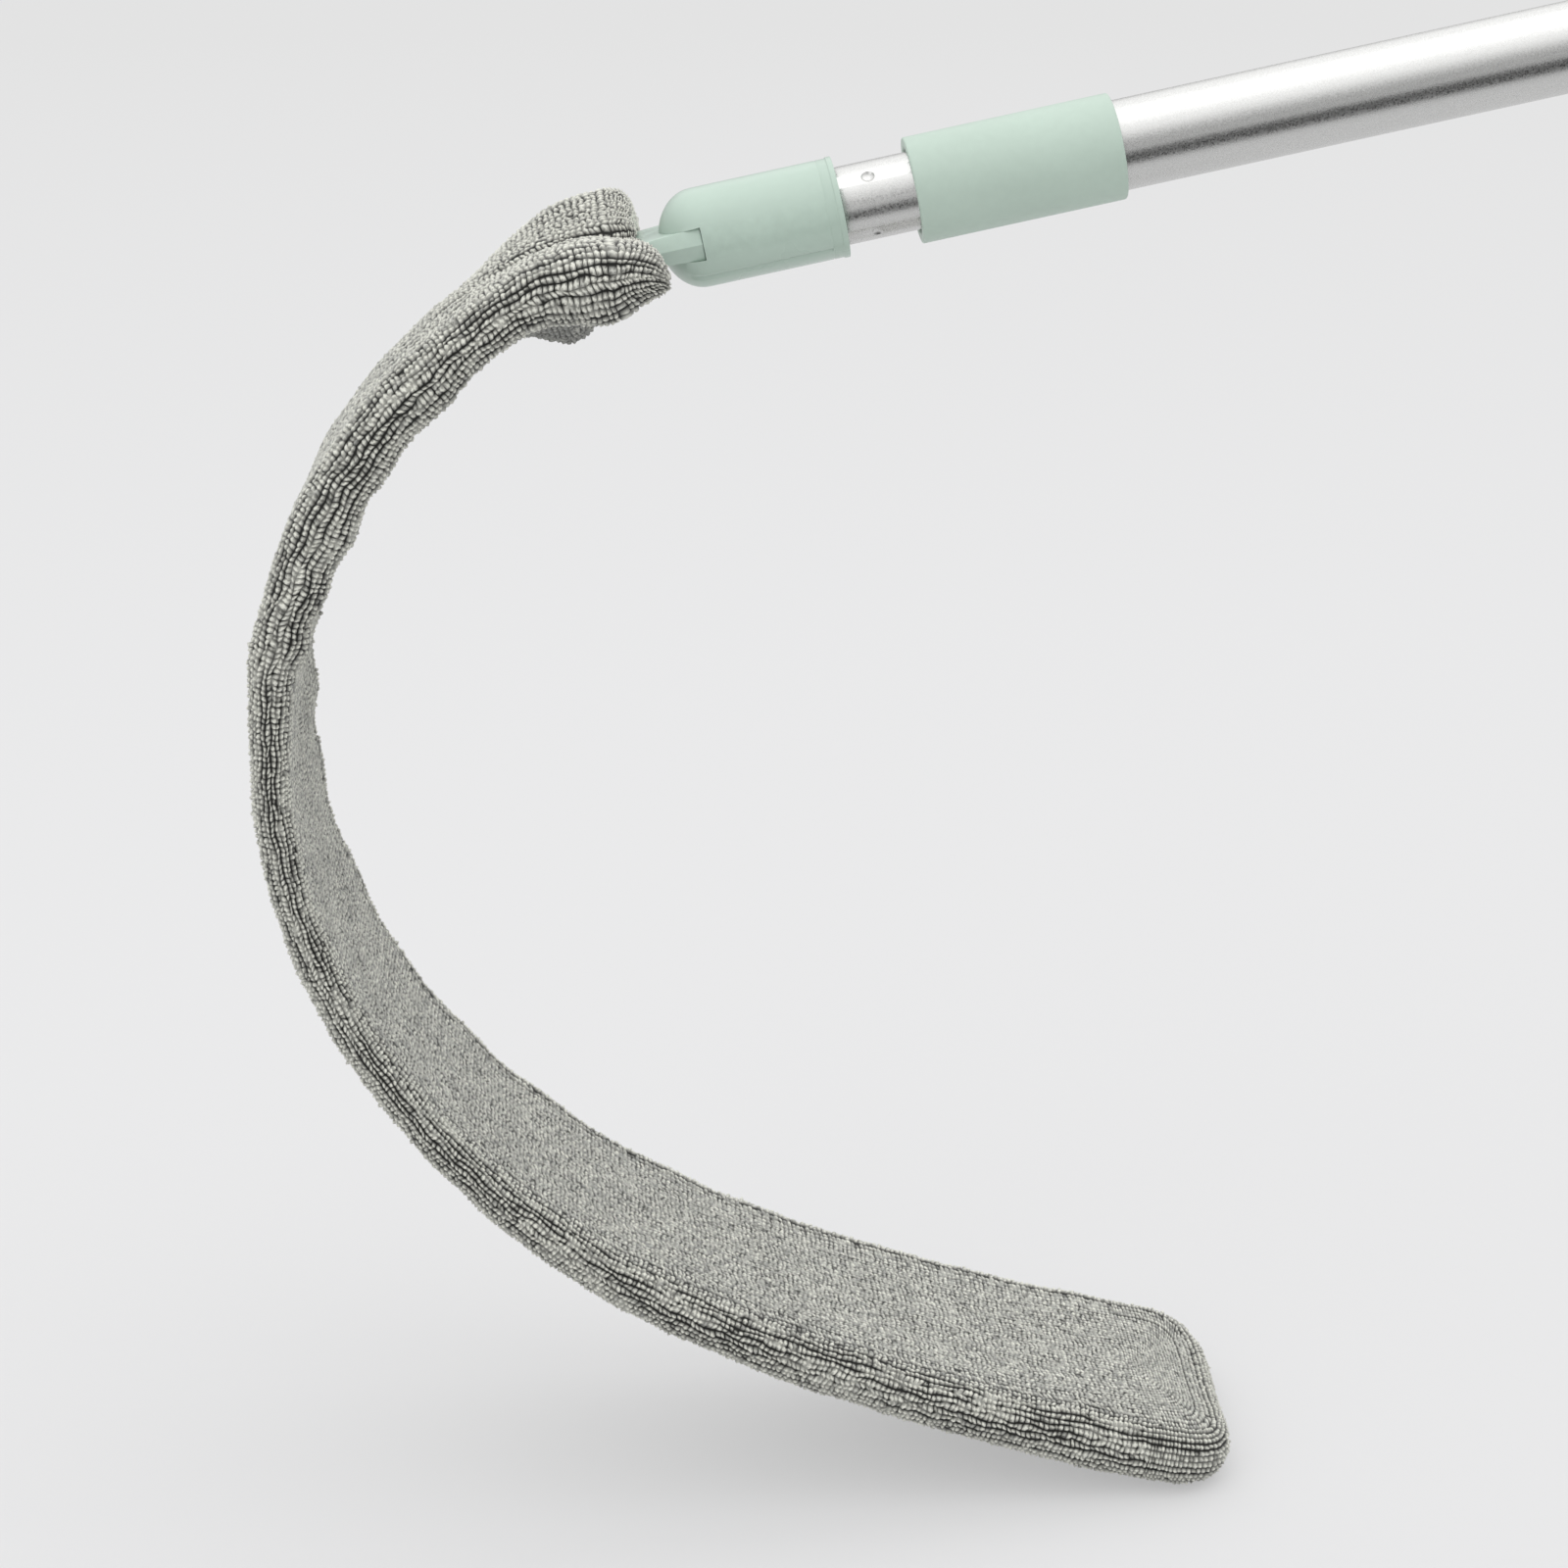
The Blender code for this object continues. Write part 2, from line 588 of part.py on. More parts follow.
def rivet_seat():
    """Distance from the blade's middle to the underside of a rivet's head."""
    return tongue_thickness(RIVET_PLACE - RIVET_HEAD_RADIUS) / 2 + SEAT_GAP


def build_tongue(head):
    """A tapered bar with a slot for the blade's root and two rivet holes, and its rivets."""
    bm = bmesh.new()
    bmesh.ops.create_cube(bm, size=1.0)
    for vert in bm.verts:
        at_root = vert.co.z > 0.0
        thickness = TONGUE_ROOT_THICKNESS if at_root else TONGUE_TIP_THICKNESS
        vert.co.x *= thickness
        vert.co.y *= TONGUE_WIDTH
        vert.co.z = DOME_END + (TONGUE_SEAT if at_root else -TONGUE_REACH)
    tongue = finish_piece(mesh_object("neck_tongue", bm), "connector_plastic", head)
    bevel = tongue.modifiers.new("soft_edges", "BEVEL")
    bevel.width = TONGUE_EDGE
    bevel.segments = EDGE_STEPS
    slot_high = DOME_END - BLADE_ROOT_START + SEAT_GAP
    slot_low = DOME_END - TONGUE_REACH - OVERRUN
    slot_size = (BLADE_THICKNESS + 2 * SEAT_GAP, BLADE_ROOT_WIDTH + 2 * SEAT_GAP, slot_high - slot_low)
    cut(tongue, box_helper("blade_slot_cutter", slot_size, (0.0, 0.0, (slot_high + slot_low) / 2), head))
    for i, side in enumerate((-1, 1)):
        centre = Vector((0.0, side * RIVET_SPACING / 2, DOME_END - RIVET_PLACE))
        hole = rod_helper(f"rivet_hole_cutter_{i + 1}", RIVET_RADIUS + SEAT_GAP,
                          TONGUE_ROOT_THICKNESS + 2 * OVERRUN, centre, "X", head)
        cut(tongue, hole)
        cut(bpy.data.objects["blade_root"], hole)
        build_rivet(f"blade_rivet_{i + 1}", centre, head)


def build_rivet(name, centre, head):
    seat = rivet_seat()
    end = seat + RIVET_HEAD_LENGTH
    profile = [(0.0, end), (RIVET_HEAD_RADIUS, end), (RIVET_HEAD_RADIUS, seat), (RIVET_RADIUS, seat),
               (RIVET_RADIUS, -seat), (RIVET_HEAD_RADIUS, -seat), (RIVET_HEAD_RADIUS, -end), (0.0, -end)]
    rivet = turned(name, profile, "steel", head, SMALL_TURN_SIDES)
    rivet.location = centre
    rivet.rotation_euler = (0.0, math.pi / 2, 0.0)


def cone_radius(place):
    """Radius of the lock's cone at a distance past the plug's flange."""
    return mix(CONE_WIDE_RADIUS, CONE_NARROW_RADIUS, (place - CONE_START) / CONE_LENGTH)


def build_lock(head, lock, cone_frame):
    """The plug and its stud, the cone that climbs it, the slotted expander, and what keeps them on."""
    bore = INNER_TUBE_RADIUS - INNER_TUBE_WALL - SEAT_GAP
    flange = INNER_TUBE_RADIUS - LOCK_FLANGE_INSET
    flange_start = INNER_TUBE_REAR + SEAT_GAP
    plug_front = flange_start - LOCK_PLUG_DEPTH
    stud_bore = SCREW_SHANK_RADIUS + SEAT_GAP
    bore_floor = STUD_END - STUD_BORE_DEPTH
    plug = [(stud_bore, STUD_END), (STUD_RADIUS, STUD_END), (STUD_RADIUS, LOCK_FLANGE_END),
            (flange, LOCK_FLANGE_END), (flange, flange_start), (bore, flange_start),
            (bore, plug_front), (0.0, plug_front), (0.0, bore_floor),
            (stud_bore, bore_floor), (stud_bore, STUD_END)]
    turned("lock_plug", plug, "lock_plastic", head)

    hole = STUD_RADIUS + SEAT_GAP
    cone_low = LOCK_FLANGE_END + CONE_START
    cone_high = cone_low + CONE_LENGTH
    cone = [(CONE_NARROW_RADIUS, cone_high), (CONE_WIDE_RADIUS, cone_low),
            (hole, cone_low), (hole, cone_high)]
    turned("lock_cone", cone, "lock_plastic", cone_frame)

    low = LOCK_FLANGE_END + EXPANDER_START
    wall_start = STUD_END - EXPANDER_END_WALL
    narrow = CONE_NARROW_RADIUS + SEAT_GAP
    expander = [(EXPANDER_RADIUS, STUD_END), (EXPANDER_RADIUS, low),
                (cone_radius(EXPANDER_START) + SEAT_GAP, low), (narrow, cone_high),
                (narrow, wall_start), (hole, wall_start), (hole, STUD_END)]
    piece = turned("lock_expander", expander, "lock_plastic", lock)
    slot_low = low - OVERRUN
    slot_size = (EXPANDER_SLOT_WIDTH, 2 * (EXPANDER_RADIUS + OVERRUN), cone_high - slot_low)
    slot_centre = (0.0, 0.0, (slot_low + cone_high) / 2)
    for i in range(EXPANDER_SLOT_COUNT):
        slot = box_helper(f"expander_slot_cutter_{i + 1}", slot_size, slot_centre, lock)
        slot.rotation_euler = (0.0, 0.0, math.pi * i / EXPANDER_SLOT_COUNT)
        cut(piece, slot)

    washer_radius = EXPANDER_RADIUS - WASHER_INSET
    washer = ring_profile(washer_radius, stud_bore, WASHER_REAR - WASHER_LENGTH, WASHER_REAR)
    turned("lock_washer", washer, "steel", head, SMALL_TURN_SIDES)
    head_rear = SCREW_SEAT + SCREW_HEAD_LENGTH
    shank_front = SCREW_SEAT - SCREW_SHANK_LENGTH
    screw = [(0.0, head_rear), (SCREW_HEAD_RADIUS, head_rear), (SCREW_HEAD_RADIUS, SCREW_SEAT),
             (SCREW_SHANK_RADIUS, SCREW_SEAT), (SCREW_SHANK_RADIUS, shank_front), (0.0, shank_front)]
    turned("lock_screw", screw, "steel", head, SMALL_TURN_SIDES)


def build_grip(handle):
    """A grip with a slight swell and a group of grooves near its front end."""
    high = OUTER_TUBE_REAR
    low = high - GRIP_LENGTH
    bore = OUTER_TUBE_RADIUS + SEAT_GAP
    profile = rounded_corner(GRIP_RADIUS - GRIP_EDGE, high - GRIP_EDGE, GRIP_EDGE, GRIP_EDGE, 1, 0)
    groove_first = low + GRIP_GROOVE_PITCH * GRIP_GROOVE_COUNT
    plain_middle = (high + groove_first) / 2
    profile.append((GRIP_RADIUS + GRIP_SWELL, plain_middle))
    for i in range(GRIP_GROOVE_COUNT):
        middle = groove_first - GRIP_GROOVE_PITCH * i
        for offset, depth in ((1, 0.0), (0.5, GRIP_GROOVE_DEPTH), (-0.5, GRIP_GROOVE_DEPTH), (-1, 0.0)):
            profile.append((GRIP_RADIUS - depth, middle + offset * GRIP_GROOVE_WIDTH / 2))
    profile += rounded_corner(GRIP_RADIUS - GRIP_EDGE, low + GRIP_EDGE, GRIP_EDGE, GRIP_EDGE, 0, -1)
    profile += [(bore, low), (bore, high)]
    turned("grip", profile, "mint_plastic", handle)


def build_end_cap(handle):
    """A domed cap with a spigot in the tube and a flat eye to hang it by."""
    low = OUTER_TUBE_REAR + SEAT_GAP
    high = low + CAP_LENGTH
    radius = OUTER_TUBE_RADIUS + CAP_OVERHANG
    spigot = OUTER_TUBE_RADIUS - OUTER_TUBE_WALL - SEAT_GAP
    edge = CAP_LENGTH - GRIP_EDGE
    profile = [(0.0, high)] + rounded_corner(radius - edge, low + GRIP_EDGE, edge, edge, 1, 0)
    profile += [(radius, low), (spigot, low), (spigot, CAP_SPIGOT_END), (0.0, CAP_SPIGOT_END)]
    cap = turned("end_cap", profile, "mint_plastic", handle)
    root = low + GRIP_EDGE
    eye_end = high + EYE_REACH
    eye_centre = (0.0, 0.0, eye_end)
    tab_size = (EYE_WIDTH, EYE_THICKNESS, eye_end - root)
    tab = box_helper("eye_tab", tab_size, (0.0, 0.0, (eye_end + root) / 2), handle)
    end = rod_helper("eye_end", EYE_WIDTH / 2, EYE_THICKNESS, eye_centre, "Y", handle, TURN_SIDES)
    combine(cap, tab, "UNION")
    combine(cap, end, "UNION")
    hole_length = EYE_THICKNESS + 2 * OVERRUN
    hole = rod_helper("eye_hole", EYE_HOLE_RADIUS, hole_length, eye_centre, "Y", handle, TURN_SIDES)
    cut(cap, hole)


# Head pieces


def build_blade_and_sleeve(head):
    """The strip and its sleeve, cut at each flexing joint, with each piece's origin on its joint."""
    joints = joint_places()
    half_blade, half_sleeve = BLADE_JOINT_GAP / 2, SLEEVE_JOINT_GAP / 2
    here = Vector((0.0, 0.0, 0.0))
    root = [BLADE_ROOT_START] + spread(SHOULDER_START, SHOULDER_START + SHOULDER_LENGTH, ARC_RINGS)
    root.append(joints[0] - half_blade)
    loft("blade_root", [blade_ring(place) for place in root], False, here, "blade_plastic", head)
    loft("sleeve_mouth", mouth_rings(joints[0] - half_sleeve), True, here, "microfibre", head)
    frame = head
    for i, low in enumerate(joints):
        origin = line_frame(low)[0]
        frame = new_frame(f"flex_{i + 1}", frame, origin - here)
        here = origin
        if i + 1 < len(joints):
            blade = spread(low + half_blade, joints[i + 1] - half_blade, ARC_RINGS)
            sleeve = spread(low + half_sleeve, joints[i + 1] - half_sleeve, ARC_RINGS)
            cavity = sleeve
            closed = True
        else:
            blade = tip_places(low + half_blade, BLADE_END, BLADE_TIP_ROUND)
            sleeve = tip_places(low + half_sleeve, SLEEVE_END, SLEEVE_TIP_ROUND)
            cavity = tip_places(low + half_sleeve, BLADE_END + SLEEVE_CAVITY_GAP, BLADE_TIP_ROUND)
            closed = False
        strip = [blade_ring(place) for place in blade]
        inside = [cavity_ring(place) for place in cavity[::-1]]
        outside = [sleeve_ring(place) for place in sleeve]
        loft(f"blade_{i + 1}", strip, False, here, "blade_plastic", frame)
        loft(f"sleeve_{i + 1}", inside + outside, closed, here, "microfibre", frame)


def stand_on_floor(root):
    """Moves the duster so that its bounding box is over the origin and stands on z = 0."""
    bpy.context.view_layer.update()
    graph = bpy.context.evaluated_depsgraph_get()
    corners = []
    for obj in PIECES.objects:
        if obj.type == "MESH":
            evaluated = obj.evaluated_get(graph)
            corners += [evaluated.matrix_world @ vert.co for vert in evaluated.data.vertices]
    low = Vector([min(corner[axis] for corner in corners) for axis in range(3)])
    high = Vector([max(corner[axis] for corner in corners) for axis in range(3)])
    root.location = (-(low.x + high.x) / 2, -(low.y + high.y) / 2, -low.z)


clear_scene()
PIECES = new_collection("extendable_duster")
HELPERS = new_collection("cutters")
MATERIALS = {name: new_material(name) for name in FINISHES}

duster = new_frame("duster", None)
handle_frame = new_frame("pole_axis", duster, turn=math.pi / 2 - POLE_TILT)
lock_frame = new_frame("lock_slide", handle_frame)
head_frame = new_frame("head_twist", lock_frame)
cone_slide = new_frame("cone_slide", lock_frame)

build_tubes(handle_frame, head_frame)
build_collar(handle_frame)
build_grip(handle_frame)
build_end_cap(handle_frame)
build_connector(head_frame)
build_tip_plug(head_frame)
build_blade_and_sleeve(head_frame)
build_tongue(head_frame)
build_lock(head_frame, lock_frame, cone_slide)
stand_on_floor(duster)
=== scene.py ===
"""The extendable duster's looks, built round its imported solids.

The pole's pieces are turned and shaped again with round surfaces. The sleeve is one
looped microfibre surface, laid along the blade's line and divided at the middle of
each stretch between two flexing joints. All sizes are in metres.
"""

import json
import math

import bpy
import numpy as np
from mathutils import Matrix, Vector


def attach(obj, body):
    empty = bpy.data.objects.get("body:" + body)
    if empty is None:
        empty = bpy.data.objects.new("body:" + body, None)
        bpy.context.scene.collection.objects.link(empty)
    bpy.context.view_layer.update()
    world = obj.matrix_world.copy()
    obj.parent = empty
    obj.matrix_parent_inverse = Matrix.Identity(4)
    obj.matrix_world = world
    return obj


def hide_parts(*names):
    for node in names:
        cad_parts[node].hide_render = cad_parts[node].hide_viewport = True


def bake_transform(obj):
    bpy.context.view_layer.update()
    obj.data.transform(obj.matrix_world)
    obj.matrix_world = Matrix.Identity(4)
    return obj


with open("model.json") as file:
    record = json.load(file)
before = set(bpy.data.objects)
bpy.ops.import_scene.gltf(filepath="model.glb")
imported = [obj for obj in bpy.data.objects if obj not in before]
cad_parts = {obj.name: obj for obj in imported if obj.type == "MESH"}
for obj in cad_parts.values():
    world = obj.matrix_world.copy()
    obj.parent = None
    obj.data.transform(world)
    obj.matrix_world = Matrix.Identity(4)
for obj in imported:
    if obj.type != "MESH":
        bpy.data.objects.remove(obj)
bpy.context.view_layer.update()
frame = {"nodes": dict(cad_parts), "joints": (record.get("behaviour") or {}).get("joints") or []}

# The pole's line, from the frame
JOINTS = {joint["name"]: joint for joint in frame["joints"]}
POLE_ZERO = Vector(JOINTS["pole_twist"]["pos_m"])
POLE_AXIS = Vector(JOINTS["pole_twist"]["axis"]).normalized()
POLE_DOWN = Vector((POLE_AXIS.z, 0.0, -POLE_AXIS.x))
POLE = Matrix((
    (POLE_DOWN.x, 0.0, POLE_AXIS.x, POLE_ZERO.x),
    (0.0, 1.0, 0.0, POLE_ZERO.y),
    (POLE_DOWN.z, 0.0, POLE_AXIS.z, POLE_ZERO.z),
    (0.0, 0.0, 0.0, 1.0),
))

# How pieces are turned, joined, rounded and shaded
TURN_STEPS = 96
HOLE_STEPS = 64
MERGE_DISTANCE = 0.000002
SHARP_ANGLE, SMOOTH_ANGLE = math.radians(32), math.radians(38)

# Pole pieces, with places measured from the collar's front end towards the grip
OUTER_TUBE = {"radius": 0.011, "bore": 0.0102, "start": 0.005, "end": 0.605, "rounding": 0.00018}
INNER_TUBE = {"radius": 0.0095, "bore": 0.0086, "start": -0.040, "end": 0.5598, "rounding": 0.00015}
CRIMP = {"count": 4, "ball": 0.0022, "lift": 0.0014, "setback": 0.0076}
COLLAR = {"radius": 0.013, "bore": 0.0113, "lip_bore": 0.0104, "lip": 0.0013, "length": 0.051,
          "flare": 0.0005, "flare_length": 0.0015, "rounding": 0.0006}
CONNECTOR = {"radius": 0.0121, "bore": 0.0098, "mouth": -0.018, "chamfer": 0.001, "rounding": 0.00035,
             "rim_rise": 0.00025, "rim_width": 0.0013, "rim_foot": 0.0015, "ring_depth": 0.00015,
             "ring_start": 0.0036, "ring_middle": 0.0039, "ring_end": 0.0042,
             "socket_end": -0.0421, "thread_bore": 0.0063, "thread_end": -0.0524}
DOME_END = -0.063
DOME_DEPTH = 0.010
PARTING = {"angle": math.radians(45), "reach": math.radians(1.5), "share": 0.962,
           "skin_share": 0.8, "dome_run": 0.004, "setback": 0.0041}
GRIP = {"radius": 0.0138, "bore": 0.0113, "start": 0.479, "end": 0.605, "rounding": 0.0009,
        "groove": 0.0022, "groove_depth": 0.0006, "pitch": 0.0075, "grooves": 6,
        "swell": 0.0007, "swell_steps": 8, "plain_end": 0.003}
CAP = {"radius": 0.0136, "start": 0.6053, "end": 0.6153, "skirt": 0.0022,
       "spigot": 0.0099, "spigot_length": 0.0078, "rounding": 0.0006}
EYE = {"centre": 0.6293, "radius": 0.009, "hole": 0.0045, "thickness": 0.005, "cutter": 0.012}

# Tongue in the dome's slot
TONGUE = {"width": 0.024, "root": 0.0080, "tip": 0.0048, "seat": 0.0102, "reach": 0.016,
          "ridge_share": 0.885, "rounding": 0.00014}
SEAM = 0.00010
SLOT_CUTTER_WIDTH = 0.03
BLADE_SLOT, BLADE_SLOT_MIDDLE = (0.0028, 0.0188, 0.022), 0.0085
RECESS, RECESS_SIDE, RECESS_SETBACK = (0.0012, 0.0150, 0.015), 0.0040, 0.0095
RIVET_HOLE = {"radius": 0.0018, "depth": 0.012, "side": 0.005, "setback": 0.0105}

# The blade's line: a straight start, then one arc for each flexing joint
FLEX_JOINTS = [joint for joint in frame["joints"] if joint["name"].startswith("blade_flex")]
BENDS = [-math.radians(joint["range_deg"][0]) for joint in FLEX_JOINTS]
STRAIGHT_LENGTH = 0.013
FIRST_ARC = 0.036
NEXT_ARC = 0.050
ARC_ENDS = [STRAIGHT_LENGTH + FIRST_ARC + NEXT_ARC * i for i in range(len(BENDS))]

# Sleeve
SLEEVE_END = 0.520
SLEEVE_HALF_WIDTH = 0.040
SLEEVE_HALF_THICKNESS = 0.00625
PLACE_SHARES = (0.0, 0.15, 0.35, 0.6, 0.8, 0.92, 1.0)
THICKNESS_SHARES = (1.05, 1.0, 0.94, 1.02, 1.2, 1.38, 1.3)
PINCH_POWER, PINCH_ROOT = 3, 0.4
EDGE_ROWS = 13
EDGE_DEPTH = 0.0058
EDGE_ROUNDNESS = 0.85
EAR_EDGE, EAR_EDGE_RUN = 0.0022, (0.015, 0.050)
FINE_ROW, FINE_ROWS, WIDE_ROWS = 1.45, 18, (1.7, 1.95, 2.15, 2.3)
TIP_START = 0.492
TIP_POWER = 5.0
TIP_SKEW, TIP_SKEW_SHARES = 0.0020, (-0.3, 0.8)
MOUTH_START = 0.013
MOUTH_RINGS = 13
DRAW_IN = 0.003
MOUTH_BLUNTNESS = 0.62
MOUTH_CORNER, MOUTH_CORNER_POWER = 0.6, 0.6
RIM_PLACE = 0.0055
NEAR_RIM, NEAR_RIM_HUMP, FAR_RIM, FAR_RIM_HUMP = 0.0060, (-0.030, 0.013), 0.0010, (0.030, 0.014)
RIM_CORNER, RIM_CORNER_POWER = 0.0070, 8
SLIT_DROP, SLIT_DROP_HUMP, SLIT_RISE, SLIT_RISE_HUMP = 0.0052, (-0.034, 0.014), 0.0024, (0.034, 0.018)
SLIT_HALF, SLIT_OPENING, SLIT_OPENING_ACROSS = 0.0003, 0.0036, (0.0125, 0.020)
HEM_LENGTH, HEM_OPENING = 0.009, (0.35, 1.0)
WALL = 0.001
WALL_STEPS = 7
WALL_STOP, WALL_TAPER_STOP = 0.008, 0.004
# The inner wall's pile value is low, so it is painted dark, as shade inside the sleeve
WALL_SHADE = 0.3
BLEND_START, BLEND_MARGIN = 0.017, 0.0035

# Pile: loops between rows that wander, with gaps as shares of a loop's cell, and painted shade in the gaps
# and on sunk loops
LOOP_PITCH = 0.00140
PILE, SUNK_PILE_SHARE = 0.0011, 0.8
FACE_PILE, GATHERED_PILE, RIM_PILE = 0.0005, 0.0004, 0.0008
STAGGER = 0.4
ROW_WANDER = 0.22
# A sunk loop is lower, and its points are painted darker, as shade in a hollow
SUNK_SHARE, SUNK_HEIGHT, SUNK_LOOP_SHADE = 0.05, 0.4, 0.6
FACE_GAP, FACE_BOLD_GAP, FACE_GAP_SHADE = 0.16, 0.12, 0.28
EDGE_GAP, EDGE_BOLD_GAP, EDGE_GAP_SHADE = 0.10, 0.20, 0.40
FACE_GAP_ALONG, EDGE_GAP_ALONG, TIP_GAP_ALONG = 0.18, 0.13, 0.15
TIP_EDGE_GAP_ALONG = 0.16
GAP_SHADE_SPREAD, GAP_SHADE_GROWTH, GAP_SHADE_LIMIT = 0.06, 0.45, 0.85
ROW_WAVE_LENGTHS, LINE_WAVE_LENGTHS = (0.009, 0.022), (0.030, 0.110)

# Painted shade in the dark lines between rows, and painted light and shade on loops: how strong they are,
# and where along the sleeve they fade
BOLDNESS, BOLDNESS_SWING, LEAST_BOLDNESS, RIM_BOLDNESS = 0.72, 0.65, 0.1, 0.9
BOLD_RUN, CREASE_BOLD_RUN = (0.045, 0.100), (0.060, 0.110)
# Painted light on the convex face by the gathered mouth and on the edge rows, and painted shade under the
# hanging fold
GATHERED_PAINTED_LIGHT, GATHERED_PAINTED_LIGHT_RUN, EDGE_PAINTED_LIGHT = 0.55, (0.030, 0.080), 0.42
FOLD_PAINTED_SHADE, FOLD_PAINTED_SHADE_RUN, FOLD_PAINTED_SHADE_ACROSS = -0.8, (0.029, 0.013), (0.0, 0.020)

# Random spreads of base points, in cells and metres, and of each loop's gaps, place, height and shade
SHIFT_ALONG, SHIFT_ACROSS, SHIFT_UP = 0.10, 0.07, 0.00008
GAP_SPREAD = (0.5, 1.6)
LOOP_SHIFT, LOOP_POINT_SHIFT = (0.045, 0.06), (0.04, 0.05)
# The power that ends the next line darkens each loop's points towards its foot: painted shade
TALL_SPREAD, LIFT_SPREAD, LOOP_SHADE, LOOP_SHADE_SPREAD, LOOP_FOOT_SHADE_POWER = 0.14, 0.10, 0.60, 0.28, 1.6

UNIT_SQUARE = ((0.0, 0.0), (1.0, 0.0), (1.0, 1.0), (0.0, 1.0))
# A loop's points, round its foot and then its top: place across, place along and share of its height
LOOP_SHAPE = ((0.15, 0.05, 0.60), (0.5, 0.0, 0.80), (0.85, 0.25, 0.60), (1.0, 0.60, 0.80),
              (0.85, 0.95, 0.60), (0.5, 1.0, 0.80), (0.15, 0.75, 0.60), (0.0, 0.40, 0.80), (0.5, 0.5, 1.0))

# Areas of the sleeve's map for baking: left, bottom, right, top
MAP_AREAS = {
    "convex": (0.0, 0.0, 0.9, 0.44), "concave": (0.0, 0.45, 0.9, 0.89),
    "tip_convex": (0.45, 0.90, 0.89, 0.995), "tip_concave": (0.0, 0.90, 0.44, 0.995),
    "tip_edge": (0.905, 0.0, 0.95, 0.98), "wall": (0.955, 0.0, 0.998, 0.60),
    "wall_rim": (0.955, 0.61, 0.998, 0.69), "wall_close": (0.955, 0.70, 0.998, 0.78),
    "wall_far": (0.955, 0.79, 0.998, 0.87), "wall_near": (0.955, 0.89, 0.998, 0.97),
}

# Forms of the sleeve. A size is followed by pairs: the start and end of a change along the
# sleeve or across it, or the middle and width of a hump
SLOW_WAVE, WAVE_COUNT, WAVE_LENGTHS, WAVE_TURN = 0.00035, 7, (0.016, 0.045), 0.9
NEAR_EAR_RUN, FAR_EAR_RUN = (0.024, 0.056), (0.018, 0.047)
EAR_RISE, NEAR_EAR, NEAR_EAR_HUMP = 0.0018, 0.0016, (-0.028, 0.012)
FAR_EAR, FAR_EAR_HUMP = 0.0054, (0.022, 0.016)
RIM_SLOPE, RIM_SLOPE_RUN, RIM_SLOPE_ACROSS = 0.0030, (0.004, 0.021), (-0.012, 0.004)
FURROW, FURROW_HUMP = 0.0042, (-0.005, 0.0036)
OFFSET_RUN, CONVEX_OFFSET, CONCAVE_OFFSET = (0.33, 0.42), 0.0009, 0.0012
TIP_HOLLOW, TIP_HOLLOW_HUMP = 0.0013, (0.455, 0.045)
FAR_SHOULDER_ACROSS = (0.008, 0.034)
NEAR_SHOULDER, NEAR_SHOULDER_ACROSS = 0.0018, (-0.03, 0.02)
NEAR_SHOULDER_STARTS, NEAR_SHOULDER_ENDS = (0.140, 0.165), (0.26, 0.34)
FAR_SAG, FAR_SAG_RUN, FAR_SAG_ACROSS = 0.0009, (0.40, 0.44), (0.0, 0.03)
EAR_BULGE, EAR_BULGE_RUN, EAR_BULGE_ACROSS = 0.0034, (0.0150, 0.0085), (-0.032, 0.014)
EAR_NICK, EAR_NICK_RUN, EAR_NICK_ACROSS = 0.0012, (0.034, 0.009), (-0.034, -0.020)
FOLD, FOLD_MIDDLE, FOLD_FRONT, FOLD_BACK, FOLD_ACROSS = 0.0105, 0.027, 0.0130, 0.0115, (-0.004, 0.0185)
NEAR_BUNCH_ACROSS, FAR_BUNCH_ACROSS = (-0.018, 0.010), (-0.005, 0.024)

# Creases along the convex face by the gathered mouth, of which the first is the furrow between the ears
CREASES = (-0.005, -0.0128, -0.0202)
CREASE_DEPTH, CREASE_WIDTH, CREASE_RUN = 0.0009, 0.0013, (0.050, 0.095)

# Low stretches of the far edge, and loose bunches on the concave side: place, width and height
FAR_SHOULDERS = ((0.072, 0.038, 0.0036), (0.094, 0.018, 0.0014))
NEAR_BUNCHES = ((0.067, 0.012, 0.0026), (0.088, 0.009, 0.0026), (0.106, 0.009, 0.0040),
                (0.124, 0.008, 0.0026), (0.138, 0.005, 0.0022))
FAR_BUNCHES = ((0.118, 0.010, 0.0028), (0.146, 0.006, 0.0018), (0.169, 0.007, 0.0024),
               (0.190, 0.010, 0.0014), (0.226, 0.011, 0.0012))

# Studio
FLOOR_SIZE, FLOOR_FADE, FLOOR_GLOW = 12.0, (0.8, 4.5), 0.40
FLOOR_NEAR, FLOOR_FAR = (0.62, 0.62, 0.625), (0.64, 0.64, 0.64)
SEEN_FLOOR_NEAR, SEEN_FLOOR_FAR = (0.345, 0.345, 0.35), (0.317, 0.317, 0.317)
WORLD_RISE, WORLD_LIGHT, SEEN_WORLD = (0.10, 0.75), (0.46, 1.34), 0.81
CARD_SIZE, CARD_PLACE = (1.95, 1.24), (0.425, -1.0, 0.002)
CAMERA_LENS, CAMERA_SENSOR = 72.0, 36.0
CAMERA_PLACE = Vector((-0.0863, -0.7672, 0.1036))
CAMERA_DOWN, CAMERA_TURN = 18.36, -4.1
TOP_LIGHT = {"size": (1.6, 1.2), "place": (-0.1, -0.1, 1.5), "aim": (0.0, 0.0, -1.0), "watts": 2.0}
FILL_LIGHT = {"size": (1.0, 0.8), "place": (-1.3, -1.1, 0.5), "aim": (0.95, 1.1, -0.3), "watts": 2.2}


